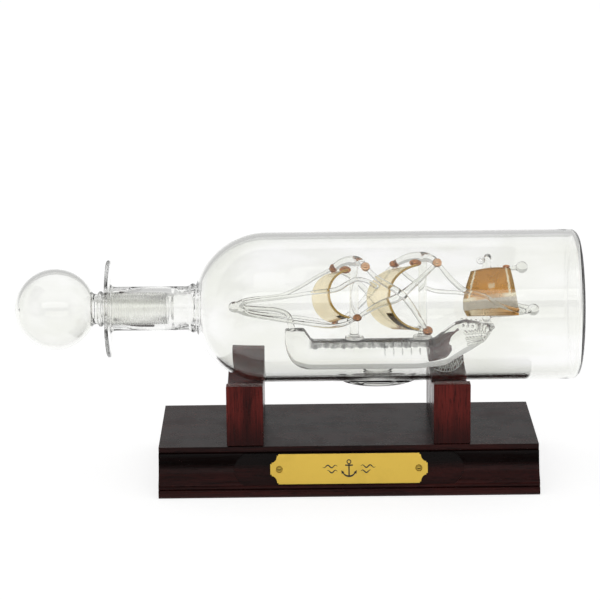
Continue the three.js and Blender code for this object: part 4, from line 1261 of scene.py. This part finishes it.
def swell(bm, settings, axis):
    """Swells the outer wall under the ship's foot."""
    low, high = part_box("ship_foot")
    middle = (low.x + high.x) / 2
    lengthwise, across, down = 20 * MM, 13 * MM, 4 * MM
    level = settings.radius - 1 * MM
    for vertex in bm.verts:
        away = vertex.co.x - middle
        y, z = vertex.co.y, axis - vertex.co.z
        radius = math.hypot(y, z)
        if abs(away) > lengthwise or z < 0 or abs(radius - settings.radius) > 1e-5:
            continue
        uy, uz = y / radius, z / radius

        def outside(r):
            return ((away / lengthwise) ** 2 + (r * uy / across) ** 2 + ((r * uz - level) / down) ** 2) > 1

        if outside(radius):
            continue
        inner, outer = radius, radius + 4 * MM
        for _ in range(30):
            half = (inner + outer) / 2
            inner, outer = (inner, half) if outside(half) else (half, outer)
        rise = inner - radius
        reach = math.hypot(away / lengthwise, y / across)
        rise *= 1 - 0.05 * (1 - math.cos(reach * 24)) * (1 - reach)
        grow = 1 + rise / radius
        vertex.co.y *= grow
        vertex.co.z = axis - z * grow


class SHIPBOTTLE_OT_bottle(bpy.types.Operator):
    """Make the bottle"""

    bl_idname = "shipbottle.bottle"
    bl_label = "Bottle"

    def execute(self, context):
        settings = context.scene.shipbottle_bottle
        axis = BOTTLE_HIGH.z - settings.radius
        bm = turned(bottle_profile(settings), settings.segments, axis_z=axis)
        swell(bm, settings, axis)
        bottle = new_piece("bottle_glass", bm, clear_glass("Bottle Glass", settings.glass_tint, 0.05))
        softened(bottle, 180)
        settle(bottle, "bottle", "glass", "bottle")
        return {"FINISHED"}


class SHIPBOTTLE_OT_stopper(bpy.types.Operator):
    """Make the ground glass stopper with its hollow ball"""

    bl_idname = "shipbottle.stopper"
    bl_label = "Stopper"

    def execute(self, context):
        settings = context.scene.shipbottle_bottle
        _end, _shoulder, _weld, _weld_radius, lip, plug_end = bottle_facts(settings)
        axis = BOTTLE_HIGH.z - settings.radius
        plug_start = plug_end - settings.plug_length
        collar = lip - 1.9 * MM
        throat = collar - 2.6 * MM
        throat_radius, bore, wall = 7.6 * MM, 5 * MM, 1.6 * MM
        ball = settings.ball_radius
        angle = math.asin(throat_radius / ball)
        centre = throat - 2.5 * MM - ball * math.cos(angle)
        inner = ball - wall
        inner_angle = math.asin(bore / inner)
        wide = plug_radius(settings, plug_start)
        narrow, ease = 7.9 * MM, 0.5 * MM
        profile = [(plug_end, bore + 0.6 * MM), (plug_end, narrow - ease)]
        profile += bezier2(profile[-1], (plug_end, narrow), (plug_end - ease, narrow), 4)
        profile += [(plug_end + (plug_start - plug_end) * i / 12, narrow + (wide - narrow) * i / 12)
                    for i in range(1, 13)]
        profile += [(plug_start - 0.5 * MM, throat_radius), (collar + 0.6 * MM, throat_radius)]
        profile += bezier2(profile[-1], (collar, throat_radius), (collar, throat_radius + 0.6 * MM), 4)
        collar_radius, collar_round = 8.9 * MM, 1.3 * MM
        profile += arc(collar - collar_round, collar_radius - collar_round, collar_round, 0, math.pi, 12)
        profile += bezier2((throat, throat_radius + 0.2 * MM), (throat, throat_radius),
                           (throat - 1 * MM, throat_radius), 5)
        profile += bezier2(profile[-1], (throat - 2.2 * MM, throat_radius),
                           (centre + ball * math.cos(angle + 0.06), ball * math.sin(angle + 0.06)), 5)
        profile += arc(centre, 0, ball, angle + 0.08, math.pi, 60)[:-1] + [(centre - ball, 0)]
        outer = turned(profile + arc(centre, 0, inner, math.pi, inner_angle, 56)[1:] + [
            (throat, bore), (plug_start, bore), (plug_end - 0.6 * MM, bore)],
            settings.segments, closed=True, axis_z=axis)
        stopper = new_piece("stopper_glass", outer, clear_glass("Stopper Glass", settings.glass_tint, 0.05))
        stopper.data.materials.append(ground_glass("Ground Plug Glass", settings.frost_tint))
        for face in stopper.data.polygons:
            away = math.hypot(face.center.y, face.center.z - axis)
            if plug_start <= face.center.x <= plug_end and away > 7.3 * MM:
                face.material_index = 1
        softened(stopper, 50)
        settle(stopper, "stopper", "ground_glass", "stopper")
        return {"FINISHED"}


# ---------------------------------------------------------------- the ship


def at(x, y, z):
    """A place on the ship, in millimetres from its origin on the bottle's axis."""
    settings = bpy.context.scene.shipbottle_bottle
    axis = BOTTLE_HIGH.z - settings.radius
    return Vector((BOTTLE_HIGH.x + (x - 116) * MM, y * MM, axis + z * MM))


# Each yard runs from its far end through its middle to its near end.
YARDS = {
    "fore_upper": ((-6.5, 8.5, 17.5), (3, 0, 23.4), (9.3, -9.5, 22.3)),
    "main_upper": ((24.3, 9.5, 19.3), (36.6, 0, 25), (44.8, -10, 24)),
    "fore_lower": ((-5.5, 7.5, -11), (0, 0, -7.5), (5.2, -7.5, -4)),
    "main_lower": ((27.5, 9.5, -13.2), (34, 0, -12), (40.2, -9, -10.7)),
}
BOW_BEAD = (-56, 0, 0.2)
GAFF_BALL = (87.4, -1, 19.2)
BOOM_BALL = (93.4, -1, -2.6)

# Stays: points, then the radius at each point as a share of the stay's own.
STAYS = {
    "bow_stay_upper_port": (
        [(-54, -0.8, 1.6), (-50, -1.9, 3.2), (-32, -4, 6), (-15, -7.8, 9.4), (-4.7, -8.9, 11),
         (1, -9.2, 14.4), (5.5, -9.5, 16), (11, -10, 14.8), (14.6, -10.4, 12.6)],
        [1.4, 1.1, 1.0, 1.0, 1.2, 1.1, 1.1, 1.1, 1.3]),
    "bow_stay_upper_starboard": (
        [(-54, 0.8, 1.6), (-50, 1.9, 3.2), (-32, 4, 5.2), (-23.2, 6.5, 8.5), (-14.7, 8.8, 13.2),
         YARDS["fore_upper"][0]],
        [1.4, 1.1, 0.9, 0.9, 0.9, 1.0]),
    "bow_stay_lower_port": (
        [(-54, -0.8, -1.2), (-50, -1.9, -2.8), (-38, -3.8, -4.8), (-23, -6.2, -6.6), (-8, -8.2, -8),
         (-0.7, -8.8, -6.6), YARDS["fore_lower"][2]],
        [1.4, 1.1, 1.0, 1.0, 1.1, 1.0, 0.9]),
    "bow_stay_lower_starboard": (
        [(-54, 0.8, -1.2), (-50, 1.9, -2.8), (-38, 3.8, -5), (-23, 6.4, -7.4), (-12, 8.4, -9.8),
         YARDS["fore_lower"][0]],
        [1.4, 1.1, 0.9, 0.9, 0.9, 0.9]),
    "cross_stay_outer_port": (
        [YARDS["fore_upper"][2], (14.3, -11.5, 17.4), (26.8, -14.7, 9.7), (31.8, -14.2, 3.4),
         (37.3, -11.5, -6), YARDS["main_lower"][2]],
        [1.0, 1.3, 1.6, 1.5, 1.1, 0.9]),
    "cross_stay_inner_port": (
        [YARDS["fore_lower"][2], (15.8, -10, 3.2), (24.8, -11.6, 6.9), (32.8, -11.2, 13.1),
         YARDS["main_upper"][2]],
        [0.9, 1.5, 2.0, 1.4, 1.0]),
    "cross_stay_outer_starboard": (
        [YARDS["fore_upper"][0], (3, 13.4, 11.5), (13, 15.4, 1), (21, 13.2, -9), YARDS["main_lower"][0]],
        [1.0, 1.2, 1.5, 1.2, 0.9]),
    "cross_stay_inner_starboard": (
        [YARDS["fore_lower"][0], (5, 10.6, -4), (14, 11.6, 6), YARDS["main_upper"][0]],
        [0.9, 1.2, 1.6, 1.0]),
    "after_stay_port": (
        [YARDS["main_upper"][2], (52, -8, 15), (58.6, -7.4, 9.3), (70, -7.3, 5.6), (75, -7, 2),
         (82, -6.6, -0.6), (88.6, -4.8, -2.4), BOOM_BALL],
        [1.0, 1.3, 1.3, 1.0, 1.0, 1.1, 1.2, 1.6]),
    "after_stay_starboard": (
        [YARDS["main_upper"][0], (33, 10.4, 11), (43, 9, 5.6), (58, 6.8, 4.4), (76, 5.2, 1),
         (88, 2.8, -1.8), BOOM_BALL],
        [1.0, 1.0, 1.1, 1.0, 1.0, 1.1, 1.5]),
}


def add_masts(bm, settings):
    """Three masts; the two forward ones stand on discs of glass."""
    radius = settings.mast_radius
    for x, foot, top, disc in ((3.8, -17, 21.4, True), (38, -17, 23, True), (70, -8.4, 23.2, False)):
        low = foot + 1.6
        add_rod(bm, [at(x, 0, low), at(x, 0, (low + top) / 2), at(x, 0, top)],
                [radius * 1.02, radius * 0.96, radius * 0.92], 24, 20)
        if disc:
            matrix = Matrix.Translation(at(x, 0, foot + 0.9))
            bmesh.ops.create_cone(bm, cap_ends=True, segments=40, radius1=5.2 * MM, radius2=4.4 * MM,
                                  depth=1.5 * MM, matrix=matrix)


def add_yards(bm, settings):
    """Upper yards arch over the mastheads; lower yards are thin bars behind the sails' feet."""
    for name, ends in YARDS.items():
        far, middle, near = (at(*p) for p in ends)
        if name.endswith("upper"):
            wide = settings.yard_radius
            add_rod(bm, [far, far.lerp(middle, 0.5) + Vector((0, 0, 1.1 * MM)), middle,
                         middle.lerp(near, 0.5) + Vector((0, 0, 1.0 * MM)), near],
                    [wide * 0.8, wide, wide * 1.1, wide, wide * 0.8], 20, 14)
        else:
            add_rod(bm, [far, middle, near], 1.2 * MM, 14, 14)


def add_loops(bm):
    """Small loops and drops of glass at the mizzen masthead, where its stays were pulled off."""
    for x, y, z, reach in ((66.6, -2.4, 23.2, 1.5), (70.4, -0.6, 24.4, 1.3)):
        ring = [at(x + reach * math.cos(a), y + 0.6 * math.sin(a), z + reach * 0.8 * math.sin(a))
                for a in [math.radians(-20 + 330 * i / 8) for i in range(9)]]
        add_rod(bm, ring, [0.7 * MM] * 9, 12, 5)


class SHIPBOTTLE_OT_rigging(bpy.types.Operator):
    """Make the masts, yards, spars and stays as one melted skin of clear glass"""

    bl_idname = "shipbottle.rigging"
    bl_label = "Rigging"

    def execute(self, context):
        settings = context.scene.shipbottle_ship
        tint = context.scene.shipbottle_bottle.glass_tint
        bm = bmesh.new()
        add_masts(bm, settings)
        add_yards(bm, settings)
        add_loops(bm)
        for points, shares in STAYS.values():
            add_rod(bm, [at(*p) for p in points], [settings.stay_radius * s for s in shares])
        bow = [BOW_BEAD, (-46, 0, -0.6), (-35, 0, -1.6), (-29.5, 0, -4), (-27.5, 0, -11)]
        add_rod(bm, [at(*p) for p in bow], [1.6 * MM, 1.2 * MM, 1.2 * MM, 1.3 * MM, 1.9 * MM])
        add_ball(bm, at(*BOW_BEAD), 3 * MM, (1.05, 0.95, 0.95))
        gaff = [(70, -1, 17.6), (80, -1, 18.6), GAFF_BALL]
        boom = [(70, -1, -5.2), (84, -1, -4.6), BOOM_BALL]
        for spar in (gaff, boom):
            add_rod(bm, [at(*p) for p in spar], [1.3 * MM, 1.1 * MM, 1.5 * MM])
            add_ball(bm, at(*spar[-1]), 3 * MM)
        finish = clear_glass("Ship Glass", tint, 0.08)
        rigging = fused("ship_rigging", bm, settings.voxel, 6, finish)
        nodes = ["foremast", "mainmast", "mizzenmast", "fore_upper_yard", "main_upper_yard",
                 "fore_lower_yard", "main_lower_yard", "gaff", "boom", "bowsprit", *STAYS]
        settle(rigging, "bottle", "glass", *nodes)
        return {"FINISHED"}


HULL_TOP = [(-31, -11.6), (-30, -11), (-21.5, -11), (-17.5, -17), (44, -17), (50, -12), (54.4, -8.8),
            (59.5, -7.5), (74.2, -10.4)]
HULL_BOTTOM = [
    (-31, -18.5), (-30.2, -23.5), (-28, -28.3), (-24.6, -31.4), (-20, -32.9),
    (36, -32.9), (50, -31.2), (58.5, -25.5), (61.7, -23.8), (69.6, -18.4),
    (74.2, -10.9),
]
HULL_HALF_WIDTH = [(-31, 2.4), (-26, 4.4), (-15, 5.9), (44, 5.9), (60, 5.2), (70, 4.8), (74.2, 4.2)]


def along_line(points, x):
    """The height of a broken line at a place along it."""
    for (x0, y0), (x1, y1) in zip(points, points[1:]):
        if x <= x1:
            return y0 + (y1 - y0) * (x - x0) / (x1 - x0)
    return points[-1][1]


def add_hull_body(bm):
    """Adds the hull as one solid loft of rounded sections, from the bow to the stern gallery."""
    sides, power = 48, 0.86
    rings = []
    count = 120
    for i in range(count + 1):
        x = -31 + (74.2 + 31) * i / count
        top, bottom = along_line(HULL_TOP, x), along_line(HULL_BOTTOM, x)
        half = along_line(HULL_HALF_WIDTH, x)
        middle, tall = (top + bottom) / 2, (top - bottom) / 2
        ring = []
        for k in range(sides):
            angle = 2 * math.pi * k / sides
            c, s = math.cos(angle), math.sin(angle)
            y = half * math.copysign(abs(s) ** power, s)
            z = middle + tall * math.copysign(abs(c) ** (power * 0.8), c)
            ring.append(bm.verts.new(at(x, y, z)))
        rings.append(ring)
    join_rings(bm, rings)
    cap_rings(bm, rings)


def gallery_rows():
    """Rows of small drops across both sides of the stern gallery."""
    rows = []
    for side in (-1, 1):
        for step in range(4):
            drop = step * 3.1
            rows.append([at(58 + step * 0.9, side * 5.6, -9.2 - drop * 1.05),
                         at(72.2 - step * 1.5, side * 5.6, -10.6 - drop * 0.72)])
    return rows


class SHIPBOTTLE_OT_hull(bpy.types.Operator):
    """Make the blown hull with its gallery, foot, ribs and gun ports"""

    bl_idname = "shipbottle.hull"
    bl_label = "Hull"

    def execute(self, context):
        settings = context.scene.shipbottle_ship
        tint = context.scene.shipbottle_bottle.glass_tint
        ribs = rib_tree()
        finish = clear_glass("Ship Detail Glass", tint, 0.12)
        shaded = clear_glass("Port Glass", (0.1, 0.1, 0.096), 0.12)
        # painted highlight: the ribs are pale enamel, standing in for the bright glints of clear glass ribs
        white = enamel("Rib Enamel", (0.86, 0.87, 0.85))
        smoked = hull_glass("Hull Glass", tint, settings.deck_smoke, at(0, 0, -17).z,
                            (at(-19.5, 0, 0).x, at(45, 0, 0).x))
        bm = bmesh.new()
        add_hull_body(bm)
        hull = fused("ship_hull", bm, settings.hull_voxel, 8, smoked)
        settle(hull, "bottle", "glass", "hull", "stern_gallery")

        bm = bmesh.new()
        ribbed = bmesh.new()
        for side in (-1, 1):
            ends = [at(19, side * 6.1, -22.6), at(41, side * 6.1, -22.0)]
            add_drops(bm, ribs, ends, settings.port_count, (0.42 * MM, 0.4 * MM, 2.0 * MM), shaded)
        curve = bezier2((43.5, -32.4), (53, -38.1), (58.2, -28.2), 30)
        for side in (-1, 1):
            add_rod(ribbed, [at(x, side * 3.2, z) for x, z in curve], 0.3 * MM, 8, 1)
            for i in range(settings.rib_count):
                x, z = curve[3 + round((len(curve) - 6) * i / (settings.rib_count - 1))]
                top = -32 + (x - 43.5) * 0.28
                add_rod(ribbed, [at(x, side * 3.2, z), at(x + 0.7, side * 3.2, top)], 0.24 * MM, 8, 1)
        ports = fused("hull_ports", bm, 0.2 * MM, 1, shaded)
        settle(ports, "bottle", "glass")
        settle(softened(new_piece("hull_ribs", ribbed, white), 180), "bottle", "glass")

        bm = bmesh.new()
        for ends in gallery_rows():
            add_drops(bm, ribs, ends, 7, (0.8 * MM, 0.6 * MM, 0.95 * MM), finish)
        lattice = fused("stern_lattice", bm, 0.25 * MM, 2, finish)
        settle(lattice, "bottle", "glass")

        low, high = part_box("ship_foot")
        middle, half = (low.x + high.x) / 2, (high.x - low.x) / 2
        height = high.z - low.z
        bore = 35 * MM
        bm = bmesh.new()
        rings = []
        for i in range(13):
            t = i / 12
            flare = 0.80 + 0.2 * (2 * t - 1) ** 2
            ring = []
            for k in range(48):
                angle = 2 * math.pi * k / 48
                y = 4.9 * MM * flare * math.sin(angle)
                sag = low.z + (1 - math.cos(math.asin(min(1, abs(y) / bore)))) * bore
                ring.append(bm.verts.new((middle + half * flare * math.cos(angle), y,
                                          sag + (low.z + height - sag) * t)))
            rings.append(ring)
        join_rings(bm, rings)
        cap_rings(bm, rings)
        bmesh.ops.recalc_face_normals(bm, faces=bm.faces)
        settle(softened(new_piece("ship_foot_glass", bm, finish), 60), "bottle", "glass", "ship_foot")
        return {"FINISHED"}


SQUARE_SAILS = {
    "fore_sail": dict(top=(0.5, 20), foot=(1, -4.2), half=6, belly=9.6, slant=-8.2, drops=(-4.6, -5.6)),
    "main_sail": dict(top=(34.6, 22.2), foot=(35.6, -10.6), half=7, belly=14, slant=-10.6,
                      drops=(-5, -3.4)),
}


def sail_section(facts, t, off=0.0):
    """The sail's bowed section in the X-Z plane, from its top at 0 to its foot at 1."""
    (top_x, top_z), (foot_x, foot_z) = facts["top"], facts["foot"]
    reach = facts["belly"] * 4 / 3
    height = top_z - foot_z
    pulls = [Vector((top_x, top_z)), Vector((top_x - reach, top_z - height * 0.12)),
             Vector((foot_x - reach, foot_z + height * 0.12)), Vector((foot_x, foot_z))]
    point = (pulls[0] * (1 - t) ** 3 + pulls[1] * 3 * t * (1 - t) ** 2
             + pulls[2] * 3 * t * t * (1 - t) + pulls[3] * t ** 3)
    way = ((pulls[1] - pulls[0]) * (1 - t) ** 2 + (pulls[2] - pulls[1]) * 2 * t * (1 - t)
           + (pulls[3] - pulls[2]) * t * t).normalized()
    return point + Vector((way.y, -way.x)) * off


def sail_point(facts, t, s, off=0.0):
    """A place on a square sail: t runs from its top to its foot, s from its near to its far edge."""
    flat = sail_section(facts, t, off)
    level = (flat.y - facts["foot"][1]) / (facts["top"][1] - facts["foot"][1])
    drop = facts["drops"][1] + (facts["drops"][0] - facts["drops"][1]) * level
    return at(flat.x + facts["slant"] * s, facts["half"] * (2 * s - 1), flat.y + drop * s)


def skin_sheet(bm, uv, front, back):
    """Faces over two grids of (vertex, across, up) and round their four edges."""
    rows, columns = len(front) - 1, len(front[0]) - 1

    def face(corners):
        made = bm.faces.new([c[0] for c in corners])
        for loop, corner in zip(made.loops, corners):
            loop[uv].uv = (corner[1], corner[2])

    for i in range(rows):
        for j in range(columns):
            face([front[i][j], front[i][j + 1], front[i + 1][j + 1], front[i + 1][j]])
            face([back[i][j], back[i + 1][j], back[i + 1][j + 1], back[i][j + 1]])
    for i in range(rows):
        face([front[i][0], front[i + 1][0], back[i + 1][0], back[i][0]])
        face([front[i][-1], back[i][-1], back[i + 1][-1], front[i + 1][-1]])
    for j in range(columns):
        face([front[0][j], back[0][j], back[0][j + 1], front[0][j + 1]])
        face([front[-1][j], front[-1][j + 1], back[-1][j + 1], back[-1][j]])
    bmesh.ops.recalc_face_normals(bm, faces=bm.faces)


def square_sail(name, settings, facts, finish):
    """A bowed strip of thin gold glass, with a UV that runs across it and up it."""
    rows, columns = 56, 20
    thick = settings.sail_thickness / MM
    bm = bmesh.new()
    uv = bm.loops.layers.uv.new("UVMap")
    grids = []
    for off in (thick / 2, -thick / 2):
        grid = []
        for i in range(rows + 1):
            t = 0.012 + 0.976 * i / rows
            row = []
            for j in range(columns + 1):
                s = j / columns
                row.append((bm.verts.new(sail_point(facts, t, s, off)), s, 1 - t))
            grid.append(row)
        grids.append(grid)
    skin_sheet(bm, uv, *grids)
    sail = new_piece(name, bm, finish)
    return softened(bevelled(sail, settings.sail_thickness * 0.42, 3, 60), 180)


class SHIPBOTTLE_OT_sails(bpy.types.Operator):
    """Make the two square sails and the spanker in fired gold"""

    bl_idname = "shipbottle.sails"
    bl_label = "Sails"

    def execute(self, context):
        settings = context.scene.shipbottle_ship
        finish = gold_lustre("Sail Gold", settings.gold_colour, settings.gold_shade, 0.055)
        for name, facts in SQUARE_SAILS.items():
            sail = square_sail(f"{name}_gold", settings, facts, finish)
            settle(sail, "bottle", "gold", name)
        self.leeches(settings)
        self.spanker(settings)
        return {"FINISHED"}

    def leeches(self, settings):
        """Thick gold down the near edge of each square sail, with a reeded band low beside it."""
        dark = worked_metal("Leech Gold", settings.leech_gold, settings.gold_shade, 0.24)
        bm = bmesh.new()
        for facts in SQUARE_SAILS.values():
            edge = [sail_point(facts, i / 24, 0) for i in range(25)]
            add_rod(bm, edge, 0.55 * MM, 10, 2)
        settle(softened(new_piece("sail_leeches", bm, dark), 180), "bottle", "gold")
        deep = worked_metal("Reed Gold", scaled(settings.leech_gold, 0.3),
                            scaled(settings.gold_shade, 0.3), 0.24)
        bm = bmesh.new()
        for name, low, high, count in (("main_sail", 0.69, 0.98, 21), ("fore_sail", 0.9, 0.98, 6)):
            for i in range(count):
                t = low + (high - low) * i / (count - 1)
                line = [sail_point(SQUARE_SAILS[name], t, s) for s in (0.0, 0.1, 0.2, 0.3)]
                add_rod(bm, line, 0.36 * MM, 8, 2)
        settle(softened(new_piece("sail_reeds", bm, deep), 180), "bottle", "gold")

    def spanker(self, settings):
        """A slightly bowed sheet with raised borders down both leeches and along its foot."""
        spanker_gold = banded_gold("Spanker Gold", settings.spanker_colour, settings.gold_colour,
                                   settings.gold_shade, settings.bare_glass)
        left = [(60, -4.9), (58.2, -1.5), (58.0, 3), (59.6, 11), (61.8, 18)]
        right = [(86, -4.6), (85.6, 0), (84.4, 6.5), (83.1, 13), (81.4, 19.6)]
        rows, columns = 40, 36

        def along(points, t):
            place = t * (len(points) - 1)
            i = min(int(place), len(points) - 2)
            return Vector(points[i]).lerp(Vector(points[i + 1]), place - i)

        bm = bmesh.new()
        uv = bm.loops.layers.uv.new("UVMap")
        grids = []
        for level in (-4.3 + 0.05, -2.65):
            grid = []
            for i in range(rows + 1):
                t = i / rows
                a, b = along(left, t), along(right, t)
                row = []
                for j in range(columns + 1):
                    s = j / columns
                    flat = a.lerp(b, s)
                    lift = 0.9 * math.sin(math.pi * s) * t
                    bow = 0.35 * math.sin(math.pi * s) * math.sin(math.pi * t)
                    rim = min(s, 1 - s, t * 0.9)
                    raised = 0.25 if rim < 0.06 else 0.0
                    depth = level + (bow + 0.25 - raised if level < -3 else 0.0)
                    row.append((bm.verts.new(at(flat.x, depth, flat.y + lift)), s, t))
                grid.append(row)
            grids.append(grid)
        skin_sheet(bm, uv, *grids)
        sheet = new_piece("spanker_sail_gold", bm, spanker_gold)
        softened(bevelled(sheet, 0.3 * MM, 2, 60), 50)
        settle(sheet, "bottle", "gold", "spanker_sail")


# Beads: place, radius in millimetres, and how the ball is stretched along X, Y and Z.
COPPER_BEADS = [
    (YARDS["fore_upper"][0], 2.35, (0.8, 1.0, 1.0)),
    (YARDS["main_upper"][0], 2.35, (1.1, 1.0, 0.75)),
    ((-0.6, -1.2, 19.0), 2.35, (1.25, 1.0, 0.8)),
    ((34.4, -1.2, 22.2), 2.4, (1.3, 1.0, 0.75)),
    (YARDS["fore_lower"][0], 1.9, (1.0, 1.0, 0.9)),
    (YARDS["main_lower"][0], 1.9, (1.0, 1.0, 0.9)),
    (YARDS["fore_lower"][2], 2.05, (1.1, 1.0, 0.9)),
    (YARDS["main_lower"][2], 2.45, (1.05, 1.0, 0.95)),
    ((79.5, -2.6, 20.2), 1.1, (1.7, 0.8, 0.7)),
]
TAN_BEADS = [
    (YARDS["fore_upper"][2], 2.4, (0.95, 1.0, 0.95)),
    (YARDS["main_upper"][2], 2.4, (0.95, 1.0, 0.9)),
]


class SHIPBOTTLE_OT_beads(bpy.types.Operator):
    """Make the copper and tan beads where the stays meet the yards"""

    bl_idname = "shipbottle.beads"
    bl_label = "Yard Beads"

    def execute(self, context):
        settings = context.scene.shipbottle_ship
        copper = copper_bead("Copper Bead", settings.copper_colour, scaled(settings.copper_colour, 0.3))
        tan = copper_bead("Tan Bead", settings.tan_colour, settings.copper_colour)
        groups = {"copper_beads": (copper, COPPER_BEADS), "tan_beads": (tan, TAN_BEADS)}
        for name, (finish, beads) in groups.items():
            bm = bmesh.new()
            for place, radius, stretch in beads:
                add_ball(bm, at(*place), radius * MM, stretch)
            settle(softened(new_piece(name, bm, finish), 180), "bottle", "gold")
        return {"FINISHED"}


# ---------------------------------------------------------------- panel and registration


class SHIPBOTTLE_PT_parts(bpy.types.Panel):
    """Lists the pieces of the ship in a bottle"""

    bl_idname = "SHIPBOTTLE_PT_parts"
    bl_label = "Ship in a Bottle"
    bl_space_type = "VIEW_3D"
    bl_region_type = "UI"
    bl_category = "Ship in a Bottle"

    def draw(self, context):
        layout = self.layout
        for maker in MAKERS:
            layout.operator(maker.bl_idname, text=maker.bl_label)
        for label, group in SETTINGS.items():
            box = layout.box()
            box.label(text=group.__doc__)
            for name in group.__annotations__:
                box.prop(getattr(context.scene, label), name)


SETTINGS = {
    "shipbottle_stage": StageSettings,
    "shipbottle_stand": StandSettings,
    "shipbottle_bottle": BottleSettings,
    "shipbottle_ship": ShipSettings,
}
MAKERS = (
    SHIPBOTTLE_OT_stage,
    SHIPBOTTLE_OT_plinth,
    SHIPBOTTLE_OT_cradles,
    SHIPBOTTLE_OT_screws,
    SHIPBOTTLE_OT_nameplate,
    SHIPBOTTLE_OT_bottle,
    SHIPBOTTLE_OT_stopper,
    SHIPBOTTLE_OT_rigging,
    SHIPBOTTLE_OT_hull,
    SHIPBOTTLE_OT_sails,
    SHIPBOTTLE_OT_beads,
)


def register():
    for kind in (*SETTINGS.values(), *MAKERS, SHIPBOTTLE_PT_parts):
        bpy.utils.register_class(kind)
    for label, group in SETTINGS.items():
        setattr(bpy.types.Scene, label, PointerProperty(type=group))


def unregister():
    for label in SETTINGS:
        delattr(bpy.types.Scene, label)
    for kind in reversed((*SETTINGS.values(), *MAKERS, SHIPBOTTLE_PT_parts)):
        bpy.utils.unregister_class(kind)


def main():
    register()
    grain_group()
    draw_group()
    metal_group()
    for maker in MAKERS:
        section, name = maker.bl_idname.split(".")
        getattr(getattr(bpy.ops, section), name)()


if __name__ == "__main__":
    main()
